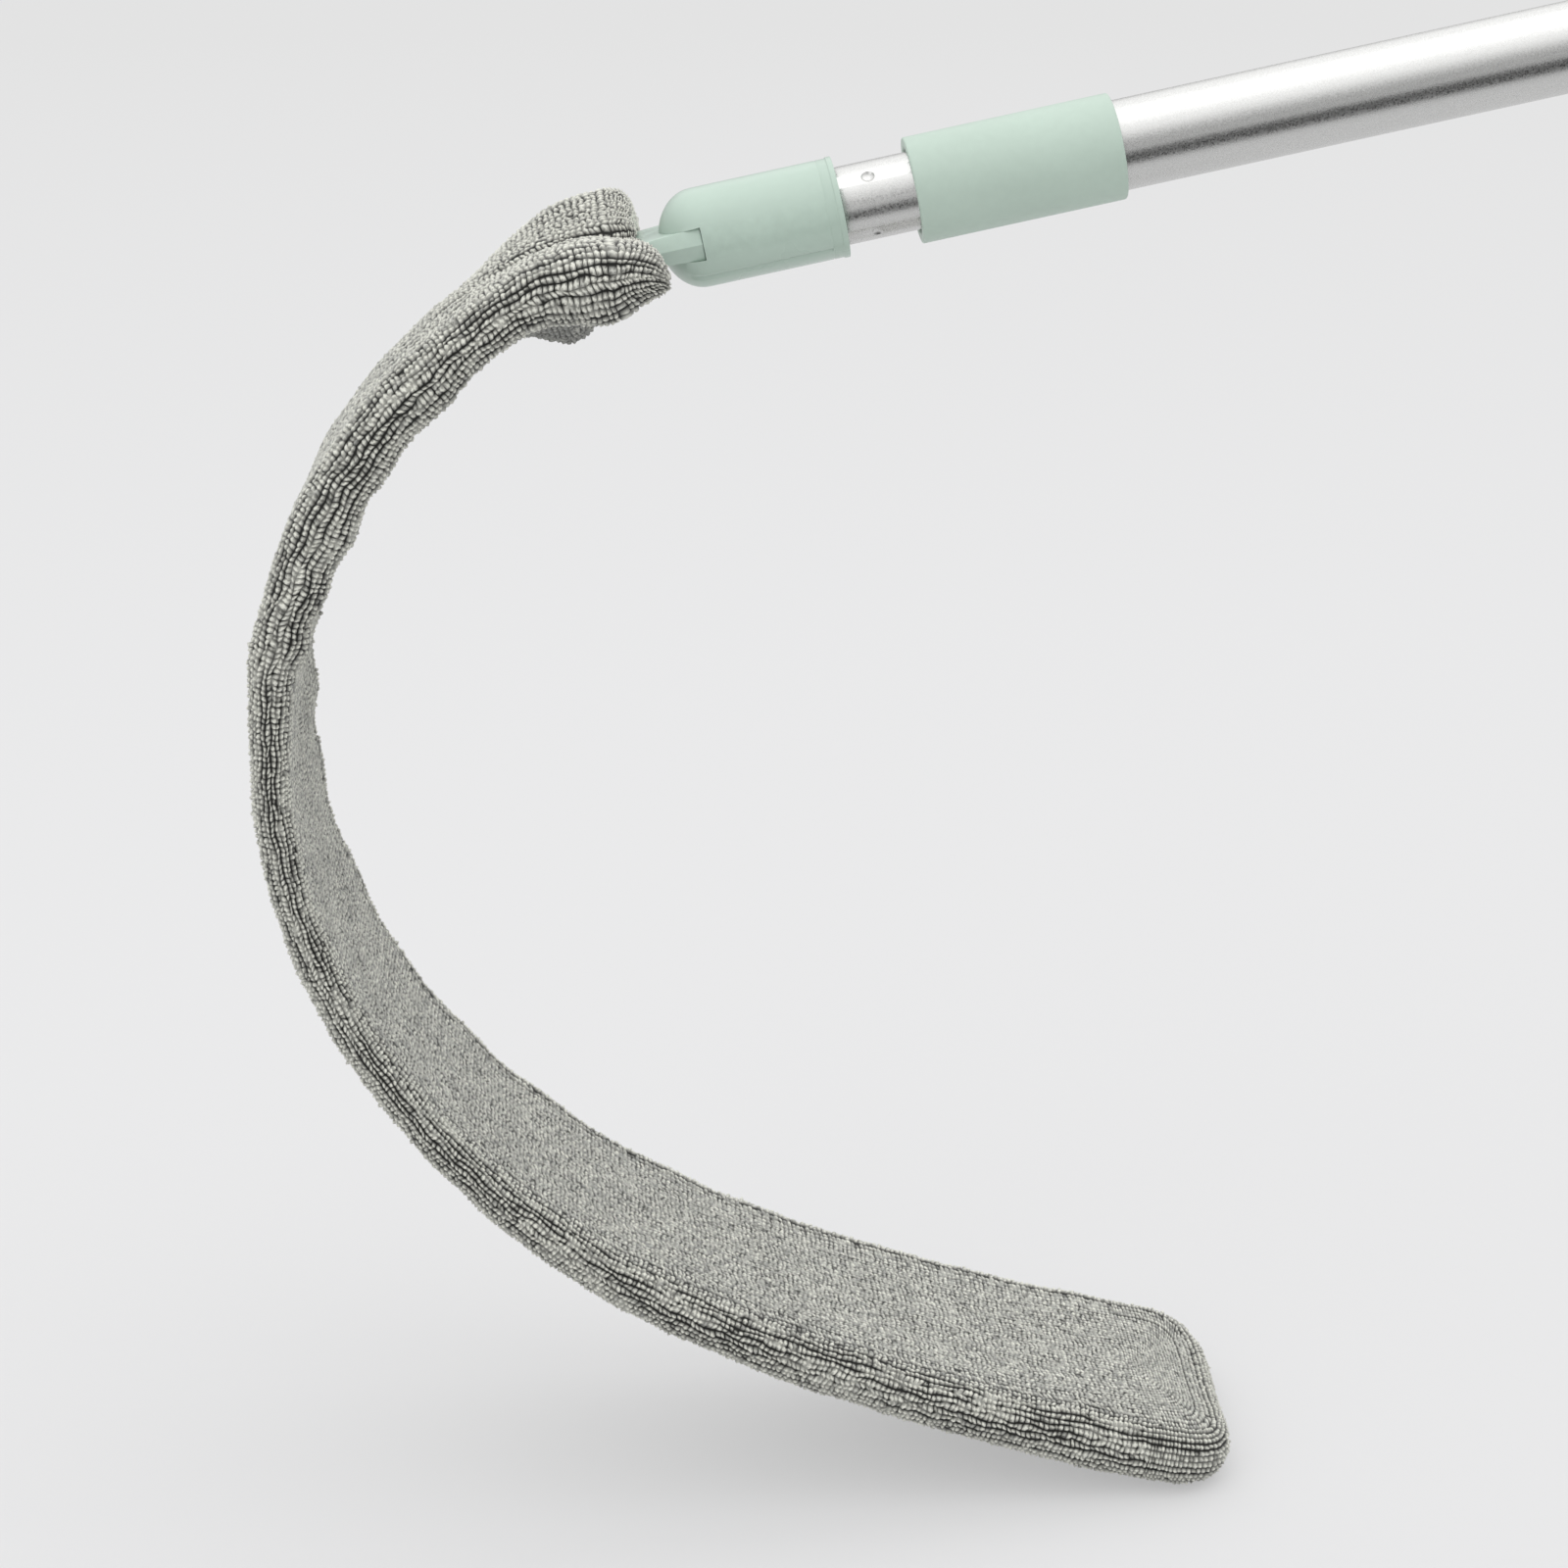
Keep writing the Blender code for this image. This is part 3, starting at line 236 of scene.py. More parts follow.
def clear_selection():
    """Leaves edit mode with nothing selected."""
    if bpy.context.object and bpy.context.object.mode != "OBJECT":
        bpy.ops.object.mode_set(mode="OBJECT")
    bpy.ops.object.select_all(action="DESELECT")


def select_only(obj):
    clear_selection()
    obj.select_set(True)
    bpy.context.view_layer.objects.active = obj


def apply_modifier(obj, kind, **settings):
    modifier = obj.modifiers.new(kind.lower(), kind)
    for name, value in settings.items():
        setattr(modifier, name, value)
    bpy.context.view_layer.objects.active = obj
    bpy.ops.object.modifier_apply(modifier=modifier.name)


def soften(obj, width, segments=3, weld=True):
    """Rounds the sharp edges of a piece, and merges the slivers that this leaves."""
    apply_modifier(obj, "BEVEL", width=width, segments=segments, limit_method="ANGLE",
                   angle_limit=SHARP_ANGLE, use_clamp_overlap=True)
    if weld:
        apply_modifier(obj, "WELD", merge_threshold=MERGE_DISTANCE)


def turned(name, profile):
    """Spins a profile of (radius, place) points about Z into a closed piece."""
    clear_selection()
    bpy.ops.mesh.primitive_plane_add()
    obj = bpy.context.object
    obj.name = name
    bpy.ops.object.mode_set(mode="EDIT")
    bpy.ops.mesh.select_all(action="SELECT")
    bpy.ops.mesh.merge(type="CENTER")
    radius, place = profile[0]
    bpy.ops.transform.translate(value=(radius, 0.0, place))
    for (r0, z0), (r1, z1) in zip(profile, profile[1:]):
        bpy.ops.mesh.extrude_vertices_move(
            TRANSFORM_OT_translate={"value": (r1 - r0, 0.0, z1 - z0)})
    bpy.ops.mesh.select_all(action="SELECT")
    bpy.ops.mesh.spin(steps=TURN_STEPS, angle=2 * math.pi, center=(0.0, 0.0, 0.0), axis=(0.0, 0.0, 1.0))
    bpy.ops.mesh.select_all(action="SELECT")
    bpy.ops.mesh.remove_doubles(threshold=MERGE_DISTANCE)
    bpy.ops.mesh.normals_make_consistent(inside=False)
    bpy.ops.object.mode_set(mode="OBJECT")
    return obj


def arc_points(radius, place, across, along, start, end, steps):
    """Points of an ellipse about (radius, place), between two angles in degrees."""
    angles = [math.radians(start + (end - start) * i / steps) for i in range(steps + 1)]
    return [(radius + across * math.cos(a), place + along * math.sin(a)) for a in angles]


def box(name, size, centre):
    clear_selection()
    bpy.ops.mesh.primitive_cube_add(size=1.0, location=centre)
    obj = bpy.context.object
    obj.name = name
    obj.scale = size
    bpy.ops.object.transform_apply(location=True, rotation=True, scale=True)
    return obj


def cylinder(radius, depth, centre, rotation, steps=HOLE_STEPS):
    clear_selection()
    bpy.ops.mesh.primitive_cylinder_add(vertices=steps, radius=radius, depth=depth,
                                        location=centre, rotation=rotation)
    return bpy.context.object


def cut_away(obj, cutter):
    """Cuts one piece's shape out of another, and removes the cutter."""
    apply_modifier(obj, "BOOLEAN", operation="DIFFERENCE", solver="EXACT", object=cutter)
    bpy.data.objects.remove(cutter)


def join_in(obj, other):
    apply_modifier(obj, "BOOLEAN", operation="UNION", solver="EXACT", object=other)
    bpy.data.objects.remove(other)


# Materials


def set_socket(tree, socket, value):
    """Sets an input's value, or links it where the value is a socket."""
    if isinstance(value, bpy.types.NodeSocket):
        tree.links.new(value, socket)
    else:
        socket.default_value = value


def new_group(name, inputs, outputs):
    """An empty shader node group: its tree, and its input and output nodes."""
    tree = bpy.data.node_groups.new(name, "ShaderNodeTree")
    for label, kind, value in inputs:
        socket = tree.interface.new_socket(name=label, in_out="INPUT", socket_type=kind)
        if value is not None:
            socket.default_value = value
    for label in outputs:
        tree.interface.new_socket(name=label, in_out="OUTPUT", socket_type="NodeSocketFloat")
    return tree, tree.nodes.new("NodeGroupInput"), tree.nodes.new("NodeGroupOutput")


def place_group(tree, group, **inputs):
    node = tree.nodes.new("ShaderNodeGroup")
    node.node_tree = group
    for name, value in inputs.items():
        set_socket(tree, node.inputs[name.replace("_", " ")], value)
    return node


def noise(tree, place, scale, detail=3.0, roughness=0.5):
    node = tree.nodes.new("ShaderNodeTexNoise")
    for name, value in (("Vector", place), ("Scale", scale), ("Detail", detail), ("Roughness", roughness)):
        set_socket(tree, node.inputs[name], value)
    return node.outputs[0]


def remap(tree, value, given=(0.0, 1.0), wanted=(0.0, 1.0), interpolation="LINEAR"):
    """Takes one range of a value to another, clamped at its ends."""
    node = tree.nodes.new("ShaderNodeMapRange")
    node.interpolation_type = interpolation
    for socket, number in zip(node.inputs, (value, *given, *wanted)):
        set_socket(tree, socket, number)
    return node.outputs[0]


def math_node(tree, operation, first, second=0.0, clamp=False):
    node = tree.nodes.new("ShaderNodeMath")
    node.operation = operation
    node.use_clamp = clamp
    for socket, value in zip(node.inputs, (first, second)):
        set_socket(tree, socket, value)
    return node.outputs[0]


def blend_colours(tree, share, first, second):
    """Mixes two colours, given as sockets or as red, green and blue."""
    node = tree.nodes.new("ShaderNodeMix")
    node.data_type = "RGBA"
    for number, value in ((0, share), (6, first), (7, second)):
        set_socket(tree, node.inputs[number], value + (1.0,) if isinstance(value, tuple) else value)
    return node.outputs[2]


def scaled(colour, factor, lift=0.0):
    return tuple(min(1.0, channel * factor + lift) for channel in colour)


def build_grain_group():
    """Fine moulded or anodised grain: a height, and a tone that varies a little over the piece."""
    tree, given, result = new_group(
        "surface_grain",
        [("Vector", "NodeSocketVector", None), ("Fine scale", "NodeSocketFloat", 3000.0),
         ("Broad scale", "NodeSocketFloat", 60.0)],
        ["Height", "Tone"])
    fine = noise(tree, given.outputs["Vector"], given.outputs["Fine scale"], detail=2.0, roughness=0.6)
    broad = noise(tree, given.outputs["Vector"], given.outputs["Broad scale"])
    tree.links.new(fine, result.inputs["Height"])
    tree.links.new(broad, result.inputs["Tone"])
    return tree


def build_wear_group():
    """A mask of a piece's outer edges, broken up by noise, where handling rubs them."""
    tree, given, result = new_group(
        "edge_wear",
        [("Vector", "NodeSocketVector", None), ("Amount", "NodeSocketFloat", 1.0)],
        ["Mask"])
    geometry = tree.nodes.new("ShaderNodeNewGeometry")
    edges = remap(tree, geometry.outputs["Pointiness"], (0.51, 0.60))
    spots = remap(tree, noise(tree, given.outputs["Vector"], 420.0), (0.35, 0.65))
    mask = math_node(tree, "MULTIPLY", edges, spots)
    tree.links.new(math_node(tree, "MULTIPLY", mask, given.outputs["Amount"], True), result.inputs["Mask"])
    return tree


GRAIN = build_grain_group()
WEAR = build_wear_group()


def new_material(name, roughness, metallic=0.0, **sockets):
    """A Principled material: its tree, its shader and its Object coordinates."""
    material = bpy.data.materials.new(name)
    material.use_nodes = True
    tree = material.node_tree
    shader = tree.nodes["Principled BSDF"]
    shader.inputs["Roughness"].default_value = roughness
    shader.inputs["Metallic"].default_value = metallic
    for socket, value in sockets.items():
        shader.inputs[socket.replace("_", " ")].default_value = value
    place = tree.nodes.new("ShaderNodeTexCoord").outputs["Object"]
    return material, tree, shader, place


def add_bump(tree, shader, height, strength, distance=0.0001):
    bump = tree.nodes.new("ShaderNodeBump")
    for name, value in (("Height", height), ("Strength", strength), ("Distance", distance)):
        set_socket(tree, bump.inputs[name], value)
    tree.links.new(bump.outputs["Normal"], shader.inputs["Normal"])


def moulded_plastic(name, colour, roughness, bump, coat=0.0):
    """Moulded plastic: a slightly uneven colour and gloss, a fine skin and lighter rubbed edges."""
    material, tree, shader, place = new_material(name, roughness, Coat_Weight=coat, Coat_Roughness=0.12)
    grain = place_group(tree, GRAIN, Vector=place, Fine_scale=2600.0, Broad_scale=45.0)
    worn = place_group(tree, WEAR, Vector=place, Amount=0.35)
    body = blend_colours(tree, grain.outputs["Tone"], scaled(colour, 0.94), scaled(colour, 1.06))
    rubbed = blend_colours(tree, worn.outputs["Mask"], body, scaled(colour, 1.28, 0.03))
    tree.links.new(rubbed, shader.inputs["Base Color"])
    rough = remap(tree, grain.outputs["Tone"], (0.3, 0.7), (roughness - 0.05, roughness + 0.07))
    tree.links.new(rough, shader.inputs["Roughness"])
    add_bump(tree, shader, grain.outputs["Height"], bump)
    return material


def anodised_aluminium(name, colour, roughness):
    """Bead-blasted anodised tube: sparkling fine grain with faint marks along the draw."""
    material, tree, shader, place = new_material(name, roughness, metallic=1.0)
    along = tree.nodes.new("ShaderNodeMapping")
    turn = (0.0, math.atan2(POLE_AXIS.z, POLE_AXIS.x), 0.0)
    for socket, value in (("Vector", place), ("Rotation", turn), ("Scale", (0.04, 1.0, 1.0))):
        set_socket(tree, along.inputs[socket], value)
    grain = place_group(tree, GRAIN, Vector=place, Fine_scale=2300.0, Broad_scale=90.0)
    drawn = place_group(tree, GRAIN, Vector=along.outputs[0], Fine_scale=1500.0, Broad_scale=420.0)
    worn = place_group(tree, WEAR, Vector=place, Amount=0.5)
    dark, light = scaled(colour, 0.92), scaled(colour, 1.06)
    body = blend_colours(tree, remap(tree, grain.outputs["Height"], (0.36, 0.64)), dark, light)
    streaks = remap(tree, drawn.outputs["Tone"], (0.3, 0.7), (0.0, 0.12))
    streaked = blend_colours(tree, streaks, body, dark)
    tree.links.new(blend_colours(tree, worn.outputs["Mask"], streaked, light), shader.inputs["Base Color"])
    rough = remap(tree, grain.outputs["Height"], (0.3, 0.7), (roughness - 0.07, roughness + 0.10))
    tree.links.new(rough, shader.inputs["Roughness"])
    add_bump(tree, shader, grain.outputs["Height"], 0.16)
    return material


def plated_steel(name):
    material, tree, shader, place = new_material(name, 0.3, metallic=1.0)
    grain = place_group(tree, GRAIN, Vector=place, Fine_scale=4000.0, Broad_scale=300.0)
    body = blend_colours(tree, grain.outputs["Tone"], (0.5, 0.5, 0.5), (0.7, 0.69, 0.66))
    tree.links.new(body, shader.inputs["Base Color"])
    rough = remap(tree, grain.outputs["Height"], wanted=(0.2, 0.42))
    tree.links.new(rough, shader.inputs["Roughness"])
    add_bump(tree, shader, grain.outputs["Height"], 0.2)
    return material


def looped_microfibre(name):
    """Looped pile: painted shade between its rows and at its loops' feet, each loop of its own shade with
    painted light and shade added, and fine fibres on it.
    """
    material, tree, shader, place = new_material(
        name, 0.9, Sheen_Weight=0.25, Sheen_Roughness=0.5, Specular_IOR_Level=0.25)
    pile, shade = (tree.nodes.new("ShaderNodeAttribute") for _ in range(2))
    pile.attribute_name, shade.attribute_name = "pile", "shade"
    fibres = noise(tree, place, 5200.0, roughness=0.7)
    patches = noise(tree, place, 55.0, roughness=0.55)
    yarn = blend_colours(tree, shade.outputs["Fac"], (0.40, 0.405, 0.385), (0.96, 0.96, 0.87))
    uneven = remap(tree, patches, (0.3, 0.7), (0.0, 0.16))
    yarn = blend_colours(tree, uneven, yarn, (0.42, 0.42, 0.385))
    thread = remap(tree, fibres, (0.35, 0.65), (0.0, 0.26))
    yarn = blend_colours(tree, thread, yarn, (0.34, 0.34, 0.31))
    # The pile attribute darkens the yarn to near black in the gaps and at the loops' feet: painted shade
    depth = remap(tree, pile.outputs["Fac"], (0.20, 0.76))
    tree.links.new(blend_colours(tree, depth, (0.020, 0.020, 0.018), yarn), shader.inputs["Base Color"])
    tree.links.new(remap(tree, fibres, wanted=(0.82, 0.98)), shader.inputs["Roughness"])
    add_bump(tree, shader, fibres, 0.6, 0.0002)
    return material


MINT = moulded_plastic("mint_satin_plastic", (0.475, 0.588, 0.512), 0.40, 0.12)
MINT_GLOSS = moulded_plastic("mint_semi_gloss_plastic", (0.455, 0.573, 0.497), 0.30, 0.06, coat=0.25)
WHITE_PLASTIC = moulded_plastic("natural_plastic", (0.75, 0.75, 0.73), 0.45, 0.15)
DARK_PLASTIC = moulded_plastic("blade_grey_plastic", (0.30, 0.31, 0.30), 0.5, 0.2)
ALUMINIUM = anodised_aluminium("satin_anodised_aluminium", (0.67, 0.67, 0.66), 0.29)
STEEL = plated_steel("zinc_plated_steel")
MICROFIBRE = looped_microfibre("grey_looped_microfibre")


def finish(obj, material, body, node):
    """Smooths a piece made along Z, turns it onto the pole and lets it stand for its CAD node."""
    select_only(obj)
    bpy.ops.object.shade_smooth_by_angle(angle=SMOOTH_ANGLE)
    obj.matrix_world = POLE @ obj.matrix_world
    bpy.ops.object.transform_apply(location=True, rotation=True, scale=True)
    obj.data.materials.clear()
    obj.data.materials.append(material)
    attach(obj, body)
    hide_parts(node)


# Pole pieces


def turned_tube(name, tube):
    """A tube of even wall, still with sharp ends."""
    start, end = tube["start"], tube["end"]
    return turned(name, [(tube["bore"], start), (tube["radius"], start),
                         (tube["radius"], end), (tube["bore"], end), (tube["bore"], start)])


def build_outer_tube():
    obj = turned_tube("outer_tube_satin", OUTER_TUBE)
    soften(obj, OUTER_TUBE["rounding"])
    finish(obj, ALUMINIUM, "handle", "outer_tube")


def build_inner_tube():
    """The thin tube, with four crimp marks that hold its front plug."""
    obj = turned_tube("inner_tube_satin", INNER_TUBE)
    place = CONNECTOR["mouth"] + CRIMP["setback"]
    for i in range(CRIMP["count"]):
        angle = math.pi / 4 + math.pi / 2 * i
        reach = INNER_TUBE["radius"] + CRIMP["lift"]
        clear_selection()
        bpy.ops.mesh.primitive_uv_sphere_add(
            segments=24, ring_count=16, radius=CRIMP["ball"],
            location=(reach * math.cos(angle), reach * math.sin(angle), place))
        cut_away(obj, bpy.context.object)
    soften(obj, INNER_TUBE["rounding"], segments=2)
    finish(obj, ALUMINIUM, "head", "inner_tube")


def build_collar():
    """The sleeve on the outer tube's end, with a lip round its front and a flared back."""
    radius, bore, lip_bore = COLLAR["radius"], COLLAR["bore"], COLLAR["lip_bore"]
    lip, length = COLLAR["lip"], COLLAR["length"]
    obj = turned("front_collar_mint", [
        (lip_bore, 0.0), (radius, 0.0), (radius, length), (bore + COLLAR["flare"], length),
        (bore, length - COLLAR["flare_length"]), (bore, lip), (lip_bore, lip), (lip_bore, 0.0)])
    soften(obj, COLLAR["rounding"])
    finish(obj, MINT, "handle", "front_collar")


def mark_parting_line(obj, dome_start):
    """Draws in a shallow groove low on each side of the connector, where its mould parts."""
    low = dome_start - PARTING["dome_run"]
    high = CONNECTOR["mouth"] - PARTING["setback"]
    for vert in obj.data.vertices:
        outside = math.hypot(vert.co.x, vert.co.y) > CONNECTOR["radius"] * PARTING["skin_share"]
        off_line = abs(math.atan2(vert.co.x, abs(vert.co.y)) - PARTING["angle"])
        if outside and low < vert.co.z < high and off_line < PARTING["reach"]:
            vert.co.x *= PARTING["share"]
            vert.co.y *= PARTING["share"]


def build_connector():
    """The socket with its raised mouth band, its dome, and the slot for the tongue."""
    mouth, radius, bore = CONNECTOR["mouth"], CONNECTOR["radius"], CONNECTOR["bore"]
    rim, chamfer = radius + CONNECTOR["rim_rise"], CONNECTOR["chamfer"]
    dome_start = DOME_END + DOME_DEPTH
    profile = [(bore + chamfer, mouth), (rim, mouth), (rim, mouth - CONNECTOR["rim_width"]),
               (radius, mouth - CONNECTOR["rim_foot"]), (radius, mouth - CONNECTOR["ring_start"]),
               (radius - CONNECTOR["ring_depth"], mouth - CONNECTOR["ring_middle"]),
               (radius, mouth - CONNECTOR["ring_end"]), (radius, dome_start)]
    profile += arc_points(0.0, dome_start, radius, DOME_DEPTH, 0, -90, 14)[1:]
    profile += [(0.0, CONNECTOR["thread_end"]), (CONNECTOR["thread_bore"], CONNECTOR["thread_end"]),
                (CONNECTOR["thread_bore"], CONNECTOR["socket_end"]), (bore, CONNECTOR["socket_end"]),
                (bore, mouth - chamfer), (bore + chamfer, mouth)]
    obj = turned("connector_mint", profile)
    soften(obj, CONNECTOR["rounding"])
    mark_parting_line(obj, dome_start)
    cut_away(obj, tongue_blank("slot_cutter", SLOT_CUTTER_WIDTH, SEAM))
    finish(obj, MINT_GLOSS, "head", "connector")


def tongue_blank(name, width, seam):
    """The tongue's tapered bar, or with a seam, the shape that cuts its slot."""
    high, low = DOME_END + TONGUE["seat"] + seam, DOME_END - TONGUE["reach"]
    obj = box(name, (TONGUE["root"] + seam, width, high - low), (0.0, 0.0, (high + low) / 2))
    for vert in obj.data.vertices:
        if vert.co.z < (high + low) / 2:
            vert.co.x *= TONGUE["tip"] / TONGUE["root"]
    return obj


def build_tongue():
    """A tapered bar whose sides meet in a ridge at the mould's parting line, with raised rails."""
    obj = tongue_blank("tongue_mint", TONGUE["width"], 0.0)
    select_only(obj)
    bpy.ops.object.mode_set(mode="EDIT")
    bpy.ops.mesh.select_all(action="SELECT")
    bpy.ops.mesh.bisect(plane_co=(0.0, 0.0, 0.0), plane_no=(1.0, 0.0, 0.0))
    bpy.ops.object.mode_set(mode="OBJECT")
    for vert in obj.data.vertices:
        if abs(vert.co.x) > MERGE_DISTANCE:
            vert.co.y *= TONGUE["ridge_share"]
    slot_middle = DOME_END - TONGUE["reach"] + BLADE_SLOT_MIDDLE
    cut_away(obj, box("blade_slot", BLADE_SLOT, (0.0, 0.0, slot_middle)))
    for side in (-1, 1):
        cut_away(obj, box("recess", RECESS, (side * RECESS_SIDE, 0.0, DOME_END - RECESS_SETBACK)))
    for side in (-1, 1):
        centre = (0.0, side * RIVET_HOLE["side"], DOME_END - RIVET_HOLE["setback"])
        hole = cylinder(RIVET_HOLE["radius"], RIVET_HOLE["depth"], centre, (0.0, math.pi / 2, 0.0), 32)
        cut_away(obj, hole)
    soften(obj, TONGUE["rounding"])
    finish(obj, MINT_GLOSS, "head", "neck_tongue")


def build_grip():
    """The grip, with grooves near its front and a slight swell."""
    radius, bore, start, end = GRIP["radius"], GRIP["bore"], GRIP["start"], GRIP["end"]
    profile = [(bore, start), (radius, start)]
    first = start + GRIP["pitch"]
    for i in range(GRIP["grooves"]):
        middle = first + GRIP["pitch"] * i
        profile += arc_points(radius, middle, -GRIP["groove_depth"], GRIP["groove"] / 2, -90, 90, 8)
    swell_start = first + GRIP["pitch"] * GRIP["grooves"]
    swell_length = end - GRIP["plain_end"] - swell_start
    for i in range(GRIP["swell_steps"] + 1):
        share = i / GRIP["swell_steps"]
        swell = GRIP["swell"] * math.sin(math.pi * share) ** 2
        profile.append((radius + swell, swell_start + swell_length * share))
    obj = turned("grip_mint", profile + [(radius, end), (bore, end), (bore, start)])
    soften(obj, GRIP["rounding"])
    finish(obj, MINT, "handle", "grip")


def build_end_cap():
    """The domed cap, its spigot in the tube, and the flat eye to hang it by."""
    radius, start, end = CAP["radius"], CAP["start"], CAP["end"]
    spigot, spigot_end = CAP["spigot"], start - CAP["spigot_length"]
    skirt_end = start + CAP["skirt"]
    edge = end - skirt_end
    profile = [(0.0, end)] + arc_points(radius - edge, skirt_end, edge, edge, 90, 0, 10)
    profile += [(radius, start), (spigot, start), (spigot, spigot_end), (0.0, spigot_end)]
    obj = turned("end_cap_mint", profile)
    centre, across = (0.0, 0.0, EYE["centre"]), (math.pi / 2, 0.0, 0.0)
    tab_size = (EYE["radius"] * 2, EYE["thickness"], EYE["centre"] - skirt_end)
    join_in(obj, box("eye_tab", tab_size, (0.0, 0.0, (EYE["centre"] + skirt_end) / 2)))
    join_in(obj, cylinder(EYE["radius"], EYE["thickness"], centre, across))
    cut_away(obj, cylinder(EYE["hole"], EYE["cutter"], centre, across))
    soften(obj, CAP["rounding"], weld=False)
    finish(obj, MINT, "handle", "end_cap")


def finish_hidden_pieces():
    """The pieces inside the pole and the sleeve keep their CAD shapes."""
    looks = {
        WHITE_PLASTIC: ("tip_plug", "lock_plug", "lock_cone", "lock_expander", "mouth_bush"),
        STEEL: ("lock_washer", "lock_screw", "blade_rivet_1", "blade_rivet_2"),
        DARK_PLASTIC: ("blade_root", *(f"blade_{i + 1}" for i in range(len(BENDS)))),
    }
    for material, names in looks.items():
        for name in names:
            node = frame["nodes"][name]
            node.data.materials.clear()
            node.data.materials.append(material)


# The sleeve's form


def line_at(places):
    """Points and outward directions of the blade's line at places along it."""
    places = np.asarray(places, float).ravel()
    across = np.zeros_like(places)
    along = DOME_END - np.minimum(places, STRAIGHT_LENGTH)
    turn = np.zeros_like(places)
    for start, end, bend in zip([STRAIGHT_LENGTH] + ARC_ENDS, ARC_ENDS, BENDS):
        run = np.clip(places, start, end) - start
        radius = (end - start) / bend
        after = turn + run / radius
        across += radius * (np.cos(turn) - np.cos(after))
        along -= radius * (np.sin(after) - np.sin(turn))
        turn = after
    run = np.maximum(0.0, places - ARC_ENDS[-1])
    across += np.sin(turn) * run
    along -= np.cos(turn) * run
    down, axis = np.array(POLE_DOWN), np.array(POLE_AXIS)
    points = np.array(POLE_ZERO) + across[:, None] * down + along[:, None] * axis
    outward = -np.cos(turn)[:, None] * down - np.sin(turn)[:, None] * axis
    return points, outward


def hump(value, middle, width):
    return np.exp(-((value - middle) / width) ** 2)


def ease(value, low, high):
    share = np.clip((value - low) / (high - low), 0.0, 1.0)
    return share * share * (3 - 2 * share)


def bunches(place, forms):
    """The height that humps along the sleeve, given by place, width and height, have together."""
    return sum(height * hump(place, middle, width) for middle, width, height in forms)


def base_thickness(place):
    """Half thickness of the sleeve: slimmer in the tight bend, full near the tip, pinched at its end."""
    shares = np.interp(place / SLEEVE_END, PLACE_SHARES, THICKNESS_SHARES)
    tip = np.clip((place - TIP_START) / (SLEEVE_END - TIP_START), 0.0, 1.0)
    return SLEEVE_HALF_THICKNESS * shares * (1 - tip ** PINCH_POWER) ** PINCH_ROOT - PILE * SUNK_PILE_SHARE


def slow_waves(x, place, seed):
    """A soft unevenness of the cloth, as a height."""
    rng = np.random.default_rng(seed)
    total = np.zeros(np.broadcast(x, place).shape)
    for _ in range(WAVE_COUNT):
        length = rng.uniform(*WAVE_LENGTHS)
        angle = rng.uniform(-WAVE_TURN, WAVE_TURN)
        phase = rng.uniform(0, 2 * math.pi)
        total += np.sin(2 * math.pi * (place * math.cos(angle) + x * math.sin(angle)) / length + phase)
    return SLOW_WAVE * total / 4


def outer_height(x, place):
    """Height of the convex side over the blade's line: two ears at the mouth with a furrow between."""
    near_ear, far_ear = 1 - ease(place, *NEAR_EAR_RUN), 1 - ease(place, *FAR_EAR_RUN)
    height = base_thickness(place) - CONVEX_OFFSET * ease(place, *OFFSET_RUN)
    height = height - TIP_HOLLOW * hump(place, *TIP_HOLLOW_HUMP)
    height = height + near_ear * (EAR_RISE + NEAR_EAR * hump(x, *NEAR_EAR_HUMP))
    height = height + far_ear * FAR_EAR * hump(x, *FAR_EAR_HUMP)
    height = height - RIM_SLOPE * (1 - ease(place, *RIM_SLOPE_RUN)) * (1 - ease(x, *RIM_SLOPE_ACROSS))
    height = height - FURROW * near_ear * hump(x, *FURROW_HUMP)
    gathered = 1 - ease(place, *CREASE_RUN)
    for crease in CREASES:
        height = height - CREASE_DEPTH * gathered * hump(x, crease, CREASE_WIDTH)
    height = height - bunches(place, FAR_SHOULDERS) * ease(x, *FAR_SHOULDER_ACROSS)
    lowered = ease(place, *NEAR_SHOULDER_STARTS) * (1 - ease(place, *NEAR_SHOULDER_ENDS))
    height = height - NEAR_SHOULDER * lowered * (1 - ease(x, *NEAR_SHOULDER_ACROSS))
    return height + slow_waves(x, place, 3)


def inner_depth(x, place):
    """Depth of the concave side under the line: a hanging fold by the mouth, then loose bunches."""
    depth = base_thickness(place) + CONCAVE_OFFSET * ease(place, *OFFSET_RUN)
    depth = depth + FAR_SAG * ease(place, *FAR_SAG_RUN) * ease(x, *FAR_SAG_ACROSS)
    depth = depth + EAR_BULGE * hump(place, *EAR_BULGE_RUN) * hump(x, *EAR_BULGE_ACROSS)
    depth = depth - EAR_NICK * hump(place, *EAR_NICK_RUN) * (1 - ease(x, *EAR_NICK_ACROSS))
    fold_width = np.where(place < FOLD_MIDDLE, FOLD_FRONT, FOLD_BACK)
    depth = depth + FOLD * hump(place, FOLD_MIDDLE, fold_width) * hump(x, *FOLD_ACROSS)
    depth = depth + bunches(place, NEAR_BUNCHES) * (1 - ease(x, *NEAR_BUNCH_ACROSS))
    depth = depth + bunches(place, FAR_BUNCHES) * ease(x, *FAR_BUNCH_ACROSS)
    return depth + slow_waves(x, place, 8)


def mouth_rim(x):
    """Where the rim lies along the line: the ears reach further than its middle, and have round corners."""
    rim = RIM_PLACE - NEAR_RIM * hump(x, *NEAR_RIM_HUMP) - FAR_RIM * hump(x, *FAR_RIM_HUMP)
    return rim + RIM_CORNER * (np.abs(x) / SLEEVE_HALF_WIDTH) ** RIM_CORNER_POWER


